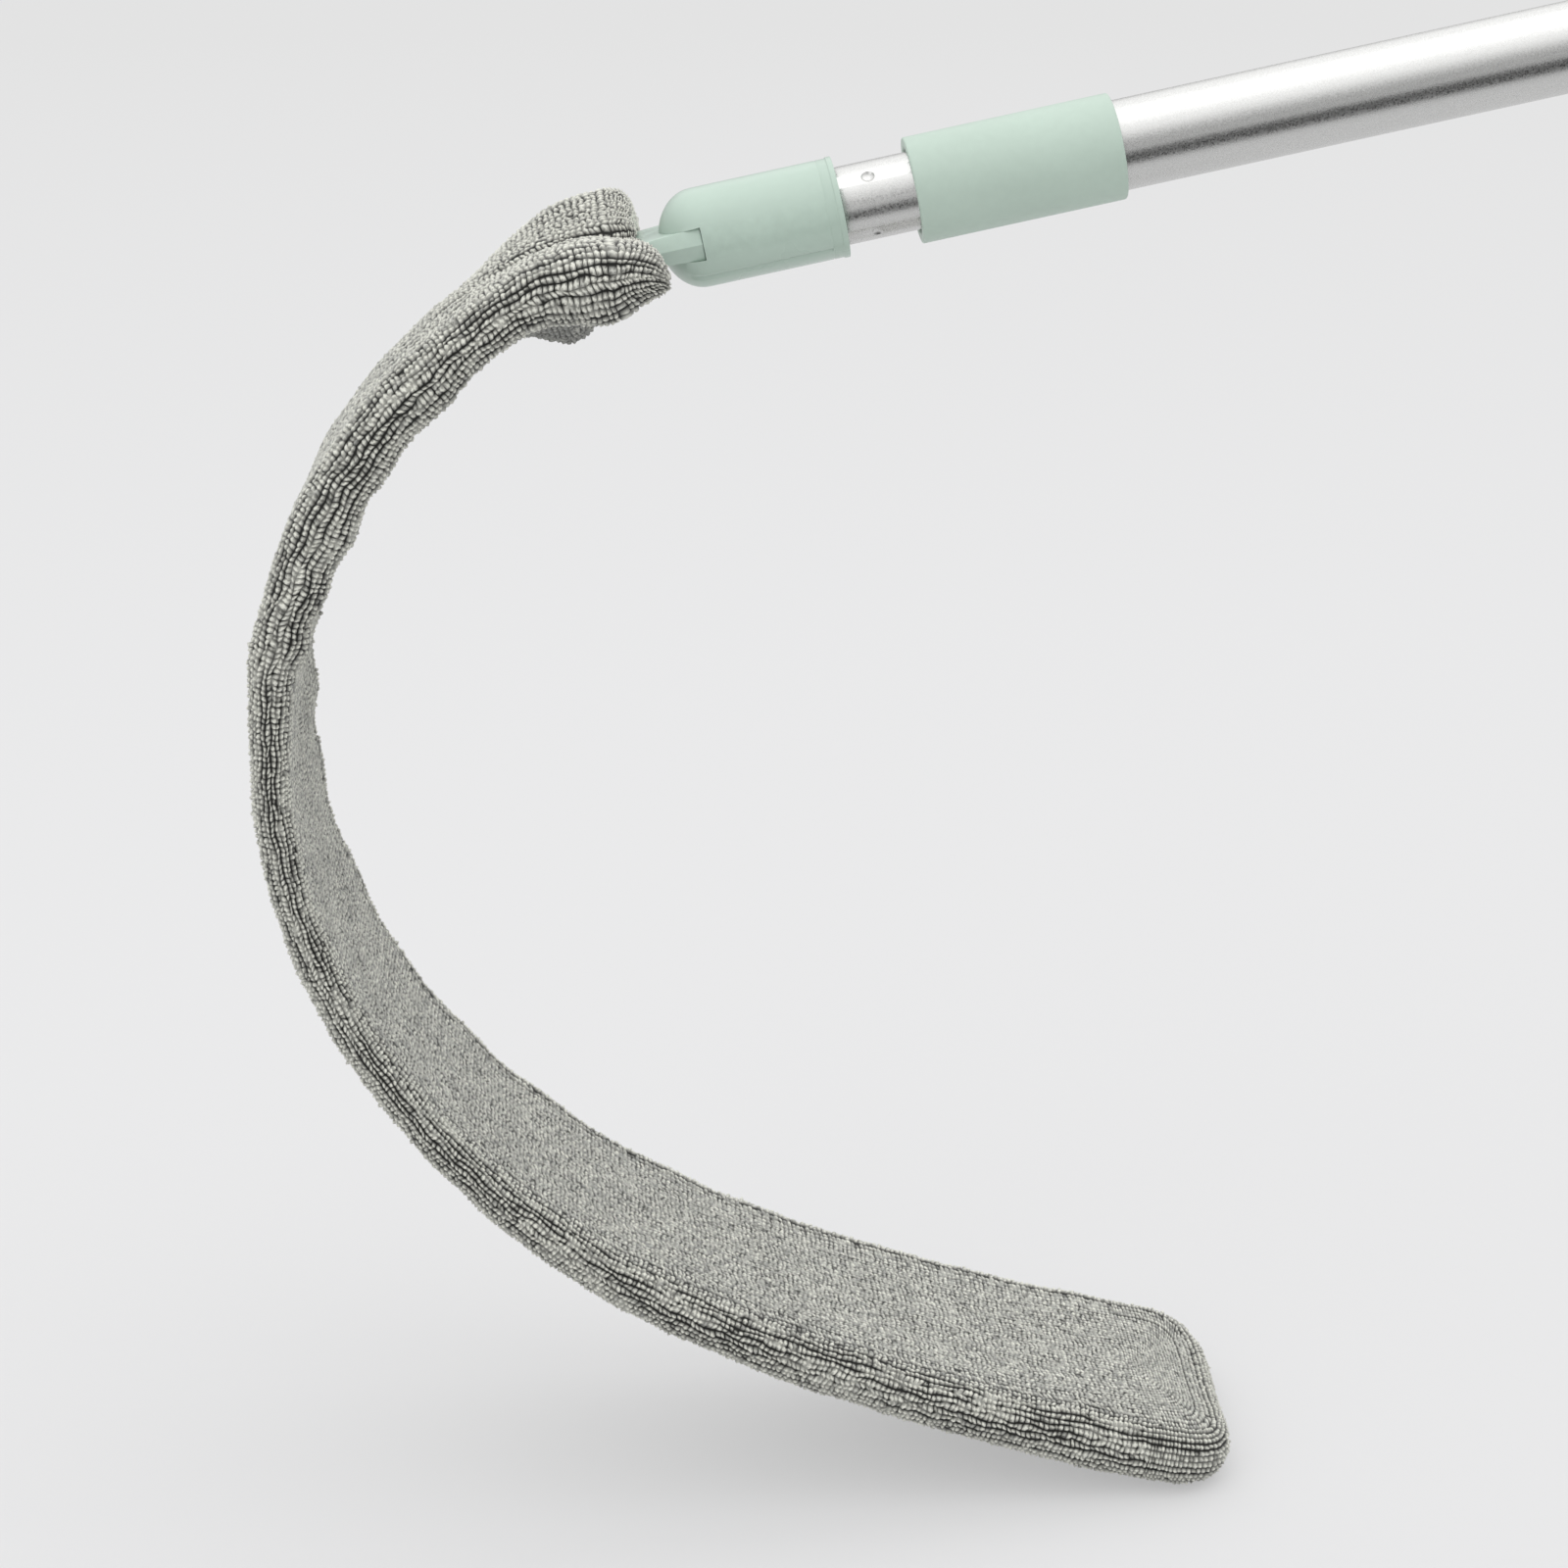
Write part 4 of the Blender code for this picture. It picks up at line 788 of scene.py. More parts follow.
def mouth_slit(x):
    """Middle and half height of the mouth's opening, which is widest round the tongue."""
    middle = SLIT_RISE * hump(x, *SLIT_RISE_HUMP) - SLIT_DROP * hump(x, *SLIT_DROP_HUMP)
    return middle, SLIT_HALF + SLIT_OPENING * (1 - ease(np.abs(x), *SLIT_OPENING_ACROSS))


def face_columns():
    """Places of the row lines across a face, from -1 to 1: wide rows by the edges, fine ones inside."""
    half = np.concatenate([[0.0], np.cumsum([FINE_ROW] * FINE_ROWS + list(WIDE_ROWS))])
    half /= half[-1]
    return np.concatenate([-half[:0:-1], half])


COLUMNS = face_columns()
FACE_CELLS = len(COLUMNS) - 1
LEVELS = COLUMNS[FACE_CELLS // 2:]
HALF_ROUND = FACE_CELLS + EDGE_ROWS
EDGE_ANGLES = math.pi / 2 - math.pi * np.arange(1, EDGE_ROWS) / EDGE_ROWS
TIP_REACH = SLEEVE_HALF_WIDTH - PILE - EDGE_DEPTH
TIP_RUN = SLEEVE_END - PILE - TIP_START - EDGE_DEPTH


def random_waves(seed, lengths, count):
    """The length and the phase of each of a count of waves."""
    return np.random.default_rng(seed).uniform((lengths[0], 0.0), (lengths[1], 2 * math.pi), (count, 2))


# How far each row is shifted along, and the waves in which rows stray and the lines between them fade
ROW_SHIFTS = np.random.default_rng(5).uniform(-STAGGER, STAGGER, 2 * HALF_ROUND) * LOOP_PITCH
ROW_WAVES = random_waves(9, ROW_WAVE_LENGTHS, 2 * HALF_ROUND)
LINE_WAVES = random_waves(12, LINE_WAVE_LENGTHS, HALF_ROUND)


def wave_at(waves, place):
    return np.sin(2 * math.pi * place / waves[:, 0] + waves[:, 1])


def line_boldness(place):
    """How bold the dark line between two rows is at a place, up to 1, for a face and an edge: a bold line
    is a wider gap with darker painted shade in it.
    """
    boldness = BOLDNESS + BOLDNESS_SWING * wave_at(LINE_WAVES, place)
    return np.split(boldness.clip(LEAST_BOLDNESS, 1.0), [FACE_CELLS + 1])


def edge_depth(place):
    """How far the rounded edge reaches past the flat faces, more at the mouth's thick ears."""
    return EDGE_DEPTH + EAR_EDGE * (1 - ease(place, *EAR_EDGE_RUN))


def tip_outline(angle):
    """The tip's outline as shares of its half width and its length."""
    across = np.sign(angle) * np.abs(np.sin(angle)) ** (2 / TIP_POWER)
    return across, np.cos(angle).clip(0.0) ** (2 / TIP_POWER)


def rounded_tip(x, y):
    """Takes points of the unit half square to the tip's rounded outline, so that rows wrap round it."""
    size = np.maximum(np.abs(x), y)
    safe = np.maximum(size, 1e-9)
    turn = np.where(y >= np.abs(x), 0.5 * x / safe, np.sign(x) * (1 - 0.5 * y / safe))
    angles = np.linspace(-math.pi / 2, math.pi / 2, 2001)
    outline_x, outline_y = tip_outline(angles)
    passed = np.cumsum(np.hypot(np.diff(outline_x) * TIP_REACH, np.diff(outline_y) * TIP_RUN))
    passed = np.concatenate([[0.0], passed]) * 2 / passed[-1] - 1
    across, along = tip_outline(np.interp(turn, passed, angles))
    return size * across, size * along


def tip_place(x, y):
    """The tip's points across and along the sleeve, from shares. The tip is a little skewed."""
    return x * TIP_REACH, TIP_START + y * TIP_RUN + TIP_SKEW * y * ease(x, *TIP_SKEW_SHARES)


def lay(x, place, height):
    """Points in the part's frame for plan places and heights over the blade's line."""
    x, place, height = (np.asarray(v, float) for v in np.broadcast_arrays(x, place, height))
    points, outward = line_at(place)
    points = points + outward * height.ravel()[:, None]
    points[:, 1] += x.ravel()
    return points.reshape(x.shape + (3,))


def ring_points(place, closing=0.0, inset=0.0, narrow=1.0):
    """One closed ring of points: convex face, far edge, concave face, near edge.

    closing turns the ring into the mouth, from 0 for open to a right angle at the rim.
    inset draws it inwards for the sleeve's inner wall, and narrow draws in its sides.
    """
    depth = float(edge_depth(place))
    opened = max(0.0, math.cos(closing))
    outside = 0.0 if inset else 1.0
    reach = (SLEEVE_HALF_WIDTH - PILE - depth - DRAW_IN * (1 - opened)) * narrow
    wander = wave_at(ROW_WAVES, place) * outside * ROW_WANDER * opened
    around = np.array_split(wander, [FACE_CELLS + 1, HALF_ROUND, HALF_ROUND + FACE_CELLS + 1])
    spacing = np.gradient(COLUMNS)
    top_x = (COLUMNS + around[0] * spacing).clip(-1, 1) * reach
    low_x = (COLUMNS + around[2][::-1] * spacing).clip(-1, 1) * reach
    for row in (top_x, low_x):
        row[0], row[-1] = -reach, reach
    far_angles = EDGE_ANGLES + around[1] * math.pi / EDGE_ROWS
    near_angles = EDGE_ANGLES[::-1] + around[3] * math.pi / EDGE_ROWS
    side_depth = (depth - inset) * narrow * (1 - MOUTH_CORNER * (1 - opened ** MOUTH_CORNER_POWER))
    far_side, near_side = (
        side_depth * np.cos(angles) ** EDGE_ROUNDNESS for angles in (far_angles, near_angles))
    all_x = np.concatenate([top_x, reach + far_side, low_x[::-1], -reach - near_side])
    places = place + outside * opened * ROW_SHIFTS
    if closing:
        places = places - (place - mouth_rim(all_x)) * math.sin(closing) ** MOUTH_BLUNTNESS
    top = outer_height(top_x, places[:FACE_CELLS + 1]) - inset
    bottom = inset - inner_depth(low_x, places[HALF_ROUND:HALF_ROUND + FACE_CELLS + 1][::-1])
    if closing:
        open_share = opened ** MOUTH_BLUNTNESS
        middle, half = mouth_slit(top_x)
        top = middle + half + (top - middle - half) * open_share
        middle, half = mouth_slit(low_x)
        bottom = middle - half + (bottom - middle + half) * open_share
    middle, half = (top + bottom) / 2, (top - bottom) / 2
    far = middle[-1] + half[-1] * np.sin(far_angles)
    near = middle[0] + half[0] * np.sin(near_angles)
    return lay(all_x, places, np.concatenate([top, far, bottom[::-1], near]))


def hem_ring(share):
    """A ring of the hem, which turns in round the tongue from the rim to the inner wall."""
    rim = ring_points(MOUTH_START, math.pi / 2)
    inner = ring_points(MOUTH_START + HEM_LENGTH, inset=WALL)
    shift = lay(0.0, RIM_PLACE + share * HEM_LENGTH, 0.0) - lay(0.0, RIM_PLACE, 0.0)
    opening = ease(share, *HEM_OPENING)
    return (rim + shift) * (1 - opening) + inner * opening


class Cloth:
    """Gathers one piece of the sleeve: base points, loops raised on its cells, and plain inner faces."""

    def __init__(self, seed):
        self.rng = np.random.default_rng(seed)
        self.points, self.depth_shades, self.shades = np.zeros((0, 3)), np.zeros(0), np.zeros(0)
        self.quads, self.quad_maps = [], []
        self.triangles, self.triangle_maps = [], []

    def add(self, points, depth_shades, shades=0.5):
        """Adds points and gives their numbers, in the points' own arrangement."""
        points = np.asarray(points, float)
        shape = points.shape[:-1]
        first = len(self.points)
        self.points = np.concatenate([self.points, points.reshape(-1, 3)])
        self.depth_shades = np.concatenate([self.depth_shades, np.broadcast_to(depth_shades, shape).ravel()])
        self.shades = np.concatenate([self.shades, np.broadcast_to(shades, shape).ravel()])
        return np.arange(first, len(self.points)).reshape(shape)

    def unsettle(self, points):
        """Moves the points of a ring grid a little, but not at its two ends."""
        along = np.gradient(points, axis=1)
        across = (np.roll(points, -1, axis=0) - np.roll(points, 1, axis=0)) / 2
        normal = np.cross(across, along)
        normal /= np.linalg.norm(normal, axis=2, keepdims=True)
        shape = points.shape[:2]
        moved = along * self.rng.normal(0.0, SHIFT_ALONG, shape)[:, :, None]
        moved += across * self.rng.normal(0.0, SHIFT_ACROSS, shape)[:, :, None]
        moved += normal * self.rng.normal(0.0, SHIFT_UP, shape)[:, :, None]
        moved[:, [0, -1]] = 0.0
        return points + moved

    def unsettled_depth_shades(self, depth_shades):
        """Painted depth shades of base points, with a random part that grows with them."""
        spread = GAP_SHADE_SPREAD + GAP_SHADE_GROWTH * depth_shades
        return (depth_shades + self.rng.normal(0.0, spread)).clip(0.0, GAP_SHADE_LIMIT)

    @staticmethod
    def corners(grid):
        """The four corners of each cell of a grid of point numbers."""
        return np.stack([grid[:-1, :-1], grid[1:, :-1], grid[1:, 1:], grid[:-1, 1:]], -1).reshape(-1, 4)

    @staticmethod
    def cell_maps(shape, area):
        """Map places of the lower corner of each cell, and the size of a cell."""
        left, bottom, right, top = MAP_AREAS[area]
        size = np.array([(right - left) / shape[0], (top - bottom) / shape[1]])
        across, along = np.meshgrid(np.arange(shape[0]), np.arange(shape[1]), indexing="ij")
        lower = np.stack([left + across * size[0], bottom + along * size[1]], -1)
        return lower.reshape(-1, 2), size

    def plain(self, grid, area):
        """Covers a grid with plain faces."""
        lower, size = self.cell_maps((grid.shape[0] - 1, grid.shape[1] - 1), area)
        self.quads.append(self.corners(grid))
        self.quad_maps.append(lower[:, None] + np.array(UNIT_SQUARE) * size)

    def loops(self, grid, area, pile, gaps, painted_lighting, swap=False):
        """Raises a loop of yarn on each cell.

        gaps are shares of a cell: before a row, after it and along it. swap is true where
        a row runs across the grid instead of along it.
        """
        shape = (grid.shape[0] - 1, grid.shape[1] - 1)
        cells = self.corners(grid)
        count = len(cells)
        lower, size = self.cell_maps(shape, area)
        pile, before, after, along, painted_lighting, swap = (
            np.broadcast_to(value, shape).reshape(-1, 1) for value in (pile, *gaps, painted_lighting, swap))
        low_s, high_s = np.where(swap, along, before), np.where(swap, 1 - along, 1 - after)
        low_t, high_t = np.where(swap, before, along), np.where(swap, 1 - after, 1 - along)
        low_s, low_t = (low * self.rng.uniform(*GAP_SPREAD, (count, 1)) for low in (low_s, low_t))
        high_s, high_t = (
            1 - (1 - high) * self.rng.uniform(*GAP_SPREAD, (count, 1)) for high in (high_s, high_t))
        sunk = self.rng.random((count, 1)) < SUNK_SHARE * pile / PILE
        corner = self.points[cells]
        normal = np.cross(corner[:, 2] - corner[:, 0], corner[:, 3] - corner[:, 1])
        normal /= np.linalg.norm(normal, axis=1, keepdims=True)
        ring_s, ring_t, lift = (np.array(values) for values in zip(*LOOP_SHAPE))
        s = low_s + (high_s - low_s) * ring_s + self.rng.normal(0.0, LOOP_SHIFT[0], (count, 1))
        t = low_t + (high_t - low_t) * ring_t + self.rng.normal(0.0, LOOP_SHIFT[1], (count, 1))
        s = (s + self.rng.normal(0.0, LOOP_POINT_SHIFT[0], s.shape)).clip(0.01, 0.99)
        t = (t + self.rng.normal(0.0, LOOP_POINT_SHIFT[1], t.shape)).clip(0.01, 0.99)
        weights = np.stack([(1 - s) * (1 - t), s * (1 - t), s * t, (1 - s) * t], -1)
        raised = np.einsum("nkc,ncd->nkd", weights, corner)
        tall = pile * (1 + self.rng.normal(0.0, TALL_SPREAD, (count, 1))) * np.where(sunk, SUNK_HEIGHT, 1.0)
        heights = tall * lift * (1 + self.rng.normal(0.0, LIFT_SPREAD, s.shape))
        raised += normal[:, None] * heights[:, :, None]
        # Each loop's shade takes the painted light and shade shift; its points are painted darker towards
        # its foot, and a sunk loop darker still
        shade = np.clip(self.rng.normal(LOOP_SHADE, LOOP_SHADE_SPREAD, (count, 1)) + painted_lighting, 0.0, 1.0)
        tone = lift ** LOOP_FOOT_SHADE_POWER * np.where(sunk, SUNK_LOOP_SHADE, 1.0)
        own = self.add(raised, tone, shade)
        place = lower[:, None] + np.stack([s, t], -1) * size
        outer = lower[:, None] + np.array(UNIT_SQUARE) * size
        for k in range(4):
            n, here, middle, there = (k + 1) % 4, 2 * k, 2 * k + 1, (2 * k + 2) % 8
            sides = (((cells, k), (cells, n), (own, middle)), ((cells, k), (own, middle), (own, here)),
                     ((cells, n), (own, there), (own, middle)), ((own, here), (own, middle), (own, 8)),
                     ((own, middle), (own, there), (own, 8)))
            for side in sides:
                self.triangles.append(np.stack([numbers[:, i] for numbers, i in side], 1))
                self.triangle_maps.append(np.stack(
                    [(outer if numbers is cells else place)[:, i] for numbers, i in side], 1))

    def make(self, name):
        """Makes the mesh, with its map for baking, and for the material its pile attribute, which carries
        painted shade in the gaps and at the loops' feet, and its shade.
        """
        quads, triangles = np.concatenate(self.quads), np.concatenate(self.triangles)
        mesh = bpy.data.meshes.new(name)
        mesh.vertices.add(len(self.points))
        mesh.vertices.foreach_set("co", self.points.ravel())
        numbers = np.concatenate([quads.ravel(), triangles.ravel()])
        mesh.loops.add(len(numbers))
        mesh.loops.foreach_set("vertex_index", numbers)
        starts = np.concatenate([np.arange(len(quads)) * 4, quads.size + np.arange(len(triangles)) * 3])
        mesh.polygons.add(len(starts))
        mesh.polygons.foreach_set("loop_start", starts)
        mesh.polygons.foreach_set("use_smooth", np.ones(len(starts), bool))
        mesh.update(calc_edges=True)
        maps = [np.concatenate(part).reshape(-1, 2) for part in (self.quad_maps, self.triangle_maps)]
        mesh.uv_layers.new(name="OFBake").data.foreach_set("uv", np.concatenate(maps).ravel())
        for label, values in (("pile", self.depth_shades), ("shade", self.shades)):
            mesh.attributes.new(label, "FLOAT", "POINT").data.foreach_set("value", values)
        obj = bpy.data.objects.new(name, mesh)
        bpy.context.scene.collection.objects.link(obj)
        return obj


def column_facts(place):
    """For the row lines and the cells round one ring: the painted shade of the lines, pile heights, two
    gaps and the painted light and shade of the loops.
    """
    mouth = 1 - ease(place, *BOLD_RUN)
    face_bold, edge_bold = line_boldness(place)
    face_bold = face_bold * mouth
    crease_lines = [int(np.argmin(np.abs(COLUMNS * TIP_REACH - crease))) for crease in CREASES]
    face_bold[crease_lines] = np.maximum(face_bold[crease_lines], 1 - ease(place, *CREASE_BOLD_RUN))
    face_bold[[0, -1]] = 1.0
    face_bold[[1, 3]] = RIM_BOLDNESS
    # The lines between rows take painted shade, darker where they are bold
    lines = FACE_GAP_SHADE * (1 - face_bold)
    pile = np.full(FACE_CELLS, FACE_PILE) + GATHERED_PILE * mouth
    pile[[0, 1, 2, -1]] = RIM_PILE
    gaps = FACE_GAP + FACE_BOLD_GAP * face_bold
    edge_gaps = EDGE_GAP + EDGE_BOLD_GAP * np.concatenate([[1.0], edge_bold, [1.0]])
    edge_lines = EDGE_GAP_SHADE * (1 - edge_bold)
    edge_pile = np.full(EDGE_ROWS, PILE)
    middles = (COLUMNS[1:] + COLUMNS[:-1]) / 2 * TIP_REACH
    # Painted light on the convex face by the gathered mouth and on the edge rows, painted shade on the
    # concave face under the hanging fold
    top_painted_lighting = np.full(FACE_CELLS, GATHERED_PAINTED_LIGHT * (1 - ease(place, *GATHERED_PAINTED_LIGHT_RUN)))
    low_painted_lighting = FOLD_PAINTED_SHADE * hump(place, *FOLD_PAINTED_SHADE_RUN) * (1 - ease(middles, *FOLD_PAINTED_SHADE_ACROSS))
    edge_painted_lighting = np.full(EDGE_ROWS, EDGE_PAINTED_LIGHT)
    return (np.concatenate([lines, edge_lines, lines[::-1], edge_lines[::-1]]),
            np.concatenate([pile, edge_pile, pile[::-1], edge_pile]),
            np.concatenate([gaps[:-1], edge_gaps[:-1], gaps[:0:-1], edge_gaps[:0:-1]]),
            np.concatenate([gaps[1:], edge_gaps[1:], gaps[-2::-1], edge_gaps[-2::-1]]),
            np.concatenate([top_painted_lighting, edge_painted_lighting, low_painted_lighting[::-1], edge_painted_lighting]))


def loop_rings(cloth, rings, places):
    """Lays rings of points from the mouth's side to the tip's, and raises their loops."""
    facts = [column_facts(place) for place in places]
    lines = np.stack([fact[0] for fact in facts], 1)
    points = cloth.unsettle(np.stack(rings, 1))
    grid = cloth.add(points, cloth.unsettled_depth_shades(lines))
    closed = np.concatenate([grid, grid[:1]])
    pile, before, after, painted_lighting = (np.stack([fact[k] for fact in facts[:-1]], 1) for k in (1, 2, 3, 4))
    along = np.repeat([FACE_GAP_ALONG, EDGE_GAP_ALONG], [FACE_CELLS, EDGE_ROWS])[:, None]
    for start, area in ((0, "convex"), (HALF_ROUND, "concave")):
        rows = slice(start, start + HALF_ROUND)
        cells = closed[start:start + HALF_ROUND + 1]
        cloth.loops(cells, area, pile[rows], (before[rows], after[rows], along), painted_lighting[rows])
    return closed


def tip_edge_points(x, y):
    """Points of the rounded edge round the tip, for shares of its outline, edge row by edge row."""
    out_x = np.sign(x) * np.abs(x) ** (TIP_POWER - 1) / TIP_REACH
    out_y = np.abs(y) ** (TIP_POWER - 1) / TIP_RUN
    size = np.hypot(out_x, out_y)
    out_x, out_y = out_x / size, out_y / size
    x, place = tip_place(x, y)
    top, bottom = outer_height(x, place), -inner_depth(x, place)
    heights = (top + bottom) / 2 + (top - bottom) / 2 * np.sin(EDGE_ANGLES)[:, None]
    out = EDGE_DEPTH * np.cos(EDGE_ANGLES)[:, None] ** EDGE_ROUNDNESS
    return lay(x + out_x * out, place + out_y * out, heights)


def build_tip(cloth, closed):
    """The rounded tip, where the rows of both faces and of the edge wrap round the blade's end."""
    x, y = rounded_tip(*np.meshgrid(COLUMNS, LEVELS[1:], indexing="ij"))
    x, place = tip_place(x, y)
    lines, pile, before, after, painted_lighting = column_facts(TIP_START)
    last_level = len(LEVELS) - 1
    column, level = np.arange(FACE_CELLS + 1)[:, None], np.arange(1, len(LEVELS))[None, :]
    depth_shades = lines[np.minimum(np.minimum(column, FACE_CELLS - column), last_level - level)]
    cell = np.arange(FACE_CELLS)[:, None]
    from_side = np.minimum(cell, FACE_CELLS - 1 - cell)
    from_end = (last_level - 1 - np.arange(last_level))[None, :]
    heights = pile[np.minimum(from_side, from_end)]
    faces = []
    for first, height, area in ((0, outer_height(x, place), "tip_convex"),
                                (HALF_ROUND, -inner_depth(x, place), "tip_concave")):
        start = closed[first:first + FACE_CELLS + 1, -1:]
        grid = cloth.add(lay(x, place, height), cloth.unsettled_depth_shades(depth_shades))
        grid = np.concatenate([start[::-1] if first else start, grid], 1)
        faces.append(grid)
        cloth.loops(grid[::-1] if first else grid, area, heights, (FACE_GAP, FACE_GAP, TIP_GAP_ALONG), 0.0,
                    swap=from_end < from_side)
    around = [(FACE_CELLS, j) for j in range(len(LEVELS))]
    around += [(i, last_level) for i in range(FACE_CELLS - 1, -1, -1)]
    around += [(0, j) for j in range(last_level - 1, -1, -1)]
    i, j = (np.array(v) for v in zip(*around))
    points = tip_edge_points(*rounded_tip(COLUMNS[i], LEVELS[j]))[:, 1:-1]
    grid = np.zeros((EDGE_ROWS + 1, len(i)), int)
    grid[0], grid[-1] = faces[0][i, j], faces[1][i, j]
    far = slice(FACE_CELLS + 1, HALF_ROUND)
    grid[1:-1, 1:-1] = cloth.add(points, np.broadcast_to(lines[far, None], points.shape[:2]))
    grid[1:-1, 0] = closed[far, -1]
    near = HALF_ROUND + FACE_CELLS + 1
    grid[1:-1, -1] = closed[near:near + EDGE_ROWS - 1, -1][::-1]
    rows = slice(FACE_CELLS, HALF_ROUND)
    gaps = (before[rows, None], after[rows, None], TIP_EDGE_GAP_ALONG)
    cloth.loops(grid, "tip_edge", PILE, gaps, painted_lighting[rows, None])


def close_wall(cloth, ring):
    """Closes the inner wall in front of the blade's end."""
    top = ring[:FACE_CELLS + 1]
    bottom = ring[HALF_ROUND:HALF_ROUND + FACE_CELLS + 1][::-1]
    cloth.plain(np.stack([bottom, top], 1), "wall_close")
    far = ring[FACE_CELLS:HALF_ROUND + 1]
    near = np.append(ring[HALF_ROUND + FACE_CELLS:], ring[0])
    for side, area in ((far, "wall_far"), (near, "wall_near")):
        middle = len(side) // 2
        cloth.plain(np.stack([side[::-1][:middle], side[:middle]], 1), area)


def wall_rings(number, start, end):
    """Rings of the inner wall, which the first piece begins with the hem round the tongue."""
    if number == 0:
        rings = [hem_ring(share) for share in np.linspace(0.0, 1.0, WALL_STEPS)[1:]]
        places = np.linspace(MOUTH_START + HEM_LENGTH, end, WALL_STEPS)[1:]
    else:
        rings = []
        wall_end = SLEEVE_END - WALL_STOP if end == TIP_START else end
        places = np.linspace(start, wall_end, WALL_STEPS + 1)
    for place in places:
        past = max(0.0, place - TIP_START) / (SLEEVE_END - TIP_START - WALL_TAPER_STOP)
        rings.append(ring_points(place, inset=WALL, narrow=(1 - past ** TIP_POWER) ** (1 / TIP_POWER)))
    return rings


def build_sleeve_piece(number):
    """One piece of the sleeve, from one middle between two flexing joints to the next."""
    cloth = Cloth(40 + number)
    first, last = number == 0, number == len(BENDS) - 1
    start = MOUTH_START if first else ARC_ENDS[number - 1]
    end = TIP_START if last else ARC_ENDS[number]
    places = list(np.linspace(start, end, round((end - start) / LOOP_PITCH) + 1))
    rings = [ring_points(place) for place in places]
    if first:
        turns = [math.pi / 2 * k / MOUTH_RINGS for k in range(MOUTH_RINGS, 0, -1)]
        rings = [ring_points(MOUTH_START, turn) for turn in turns] + rings
        places = [MOUTH_START] * MOUTH_RINGS + places
    closed = loop_rings(cloth, rings, places)
    wall = cloth.add(np.stack(wall_rings(number, start, end), 1), WALL_SHADE)
    inner = np.concatenate([closed[:, :1], np.concatenate([wall, wall[:1]])], 1)
    cloth.plain(inner[::-1], "wall")
    if last:
        build_tip(cloth, closed)
        close_wall(cloth, wall[:, -1])
    else:
        cloth.plain(np.stack([closed[:, -1], inner[:, -1]], 1), "wall_rim")
    obj = cloth.make(f"sleeve_cloth_{number + 1}")
    dress_sleeve(obj, number, start)


def dress_sleeve(obj, number, start):
    """Gives a sleeve piece its material, bakes its place into its points and hides the CAD nodes that it
    stands for.
    """
    obj.data.materials.append(MICROFIBRE)
    blend_start = start + BLEND_MARGIN if number else BLEND_START
    points, _ = line_at((blend_start, ARC_ENDS[number] - BLEND_MARGIN))
    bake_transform(obj)
    nodes = [f"sleeve_{number + 1}"] + (["sleeve_mouth"] if number == 0 else [])
    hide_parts(*nodes)


build_outer_tube()
build_inner_tube()
build_collar()
build_connector()
build_tongue()
build_grip()
build_end_cap()
finish_hidden_pieces()
for number in range(len(BENDS)):
    build_sleeve_piece(number)


# Studio


def build_floor():
    """A pale floor. To camera rays a part of its tone is its own, so that shadows on it stay soft."""
    clear_selection()
    bpy.ops.mesh.primitive_plane_add(size=FLOOR_SIZE, location=(0.0, 0.0, 0.0))
    floor = bpy.context.object
    floor.name = "studio_floor"
    material, tree, shader, place = new_material("pale_floor", 0.9, Specular_IOR_Level=0.0)
    apart = tree.nodes.new("ShaderNodeVectorMath")
    apart.operation = "LENGTH"
    tree.links.new(place, apart.inputs[0])
    far = remap(tree, apart.outputs["Value"], FLOOR_FADE)
    seen = tree.nodes.new("ShaderNodeLightPath").outputs["Is Camera Ray"]
    pale = blend_colours(tree, far, FLOOR_NEAR, FLOOR_FAR)
    seen_pale = blend_colours(tree, far, SEEN_FLOOR_NEAR, SEEN_FLOOR_FAR)
    tree.links.new(blend_colours(tree, seen, pale, seen_pale), shader.inputs["Base Color"])
    shader.inputs["Emission Color"].default_value = (1.0, 1.0, 1.0, 1.0)
    tree.links.new(math_node(tree, "MULTIPLY", seen, FLOOR_GLOW), shader.inputs["Emission Strength"])
    floor.data.materials.append(material)


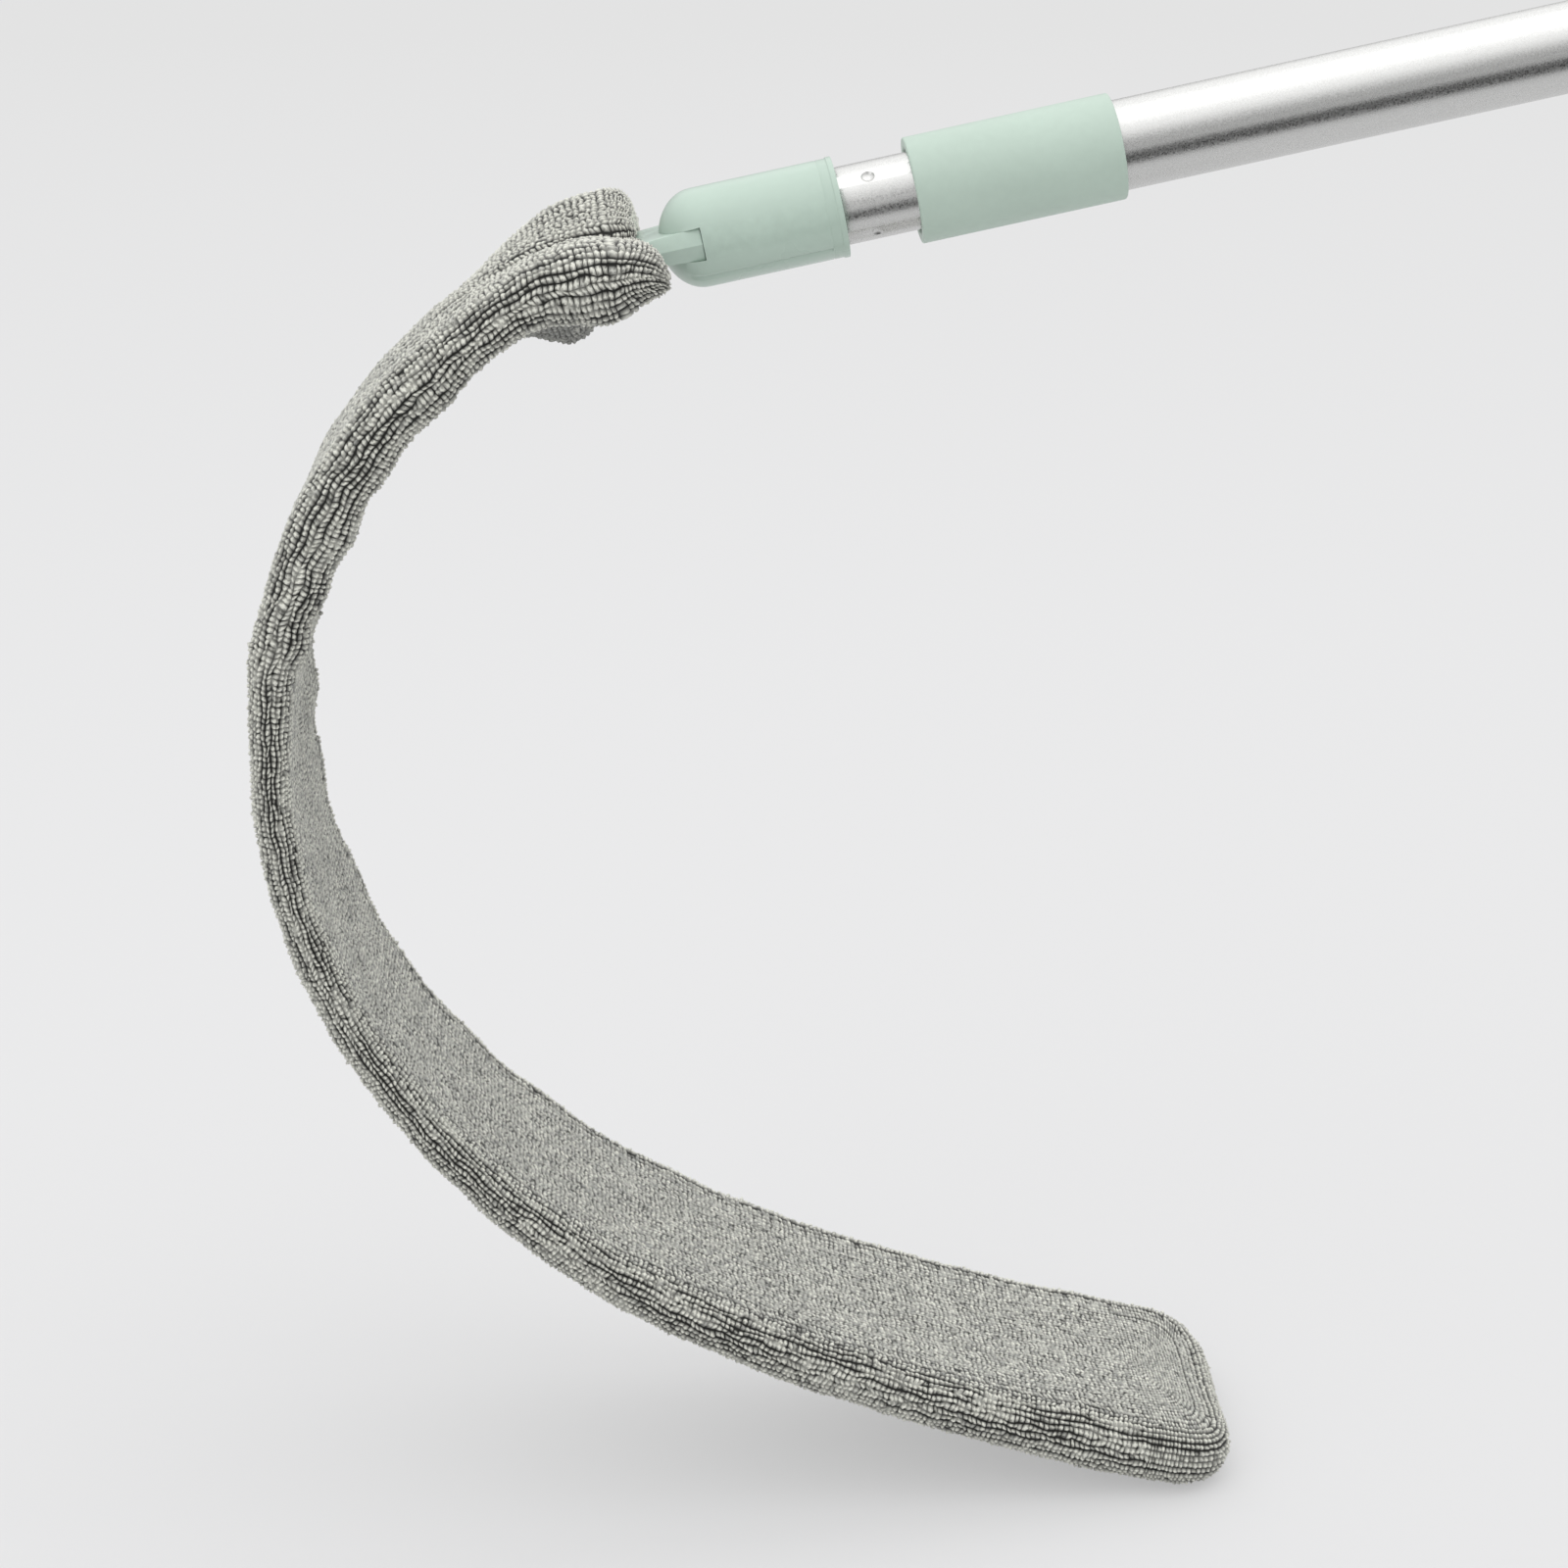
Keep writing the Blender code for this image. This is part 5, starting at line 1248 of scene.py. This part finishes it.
def build_dark_card():
    """A dark card low in front, which shows only in reflections, as a darker band along the pole."""
    clear_selection()
    bpy.ops.mesh.primitive_plane_add(size=1.0, location=CARD_PLACE)
    card = bpy.context.object
    card.name = "dark_card"
    card.scale = (*CARD_SIZE, 1.0)
    bpy.ops.object.transform_apply(location=True, rotation=True, scale=True)
    material = new_material("dark_card", 0.9, Specular_IOR_Level=0.0, Base_Color=(0.03, 0.03, 0.03, 1.0))[0]
    card.data.materials.append(material)
    card.visible_camera = card.visible_diffuse = card.visible_shadow = False


def build_camera():
    """The photograph's view: a long lens a little above the pole, looking down at the bent head."""
    camera = bpy.data.cameras.new("photo_camera")
    camera.lens = CAMERA_LENS
    camera.sensor_width = CAMERA_SENSOR
    obj = bpy.data.objects.new("photo_camera", camera)
    obj.location = POLE_ZERO + CAMERA_PLACE
    obj.rotation_euler = (math.radians(90 - CAMERA_DOWN), 0.0, math.radians(CAMERA_TURN))
    bpy.context.scene.collection.objects.link(obj)
    bpy.context.scene.camera = obj


def build_world():
    """A white world, dim at the horizon and bright overhead, with a plain tone to camera rays."""
    world = bpy.data.worlds.new("studio_world")
    world.use_nodes = True
    tree = world.node_tree
    background = tree.nodes["Background"]
    background.inputs[0].default_value = (1.0, 1.0, 1.0, 1.0)
    direction = tree.nodes.new("ShaderNodeSeparateXYZ")
    tree.links.new(tree.nodes.new("ShaderNodeTexCoord").outputs["Generated"], direction.inputs[0])
    height = remap(tree, direction.outputs["Z"], WORLD_RISE, WORLD_LIGHT, "SMOOTHSTEP")
    seen = tree.nodes.new("ShaderNodeLightPath").outputs["Is Camera Ray"]
    tree.links.new(remap(tree, seen, wanted=(height, SEEN_WORLD)), background.inputs[1])
    bpy.context.scene.world = world


def build_light(name, facts):
    """A soft rectangular light at a place, which shines in its aim's direction."""
    light = bpy.data.lights.new(name, "AREA")
    light.shape = "RECTANGLE"
    light.size, light.size_y = facts["size"]
    light.energy = facts["watts"]
    obj = bpy.data.objects.new(name, light)
    obj.location = facts["place"]
    obj.rotation_euler = Vector(facts["aim"]).to_track_quat("-Z", "Y").to_euler()
    bpy.context.scene.collection.objects.link(obj)


build_floor()
build_dark_card()
build_camera()
build_world()
build_light("top_light", TOP_LIGHT)
build_light("fill_light", FILL_LIGHT)
bpy.context.scene.view_settings.view_transform = "Standard"
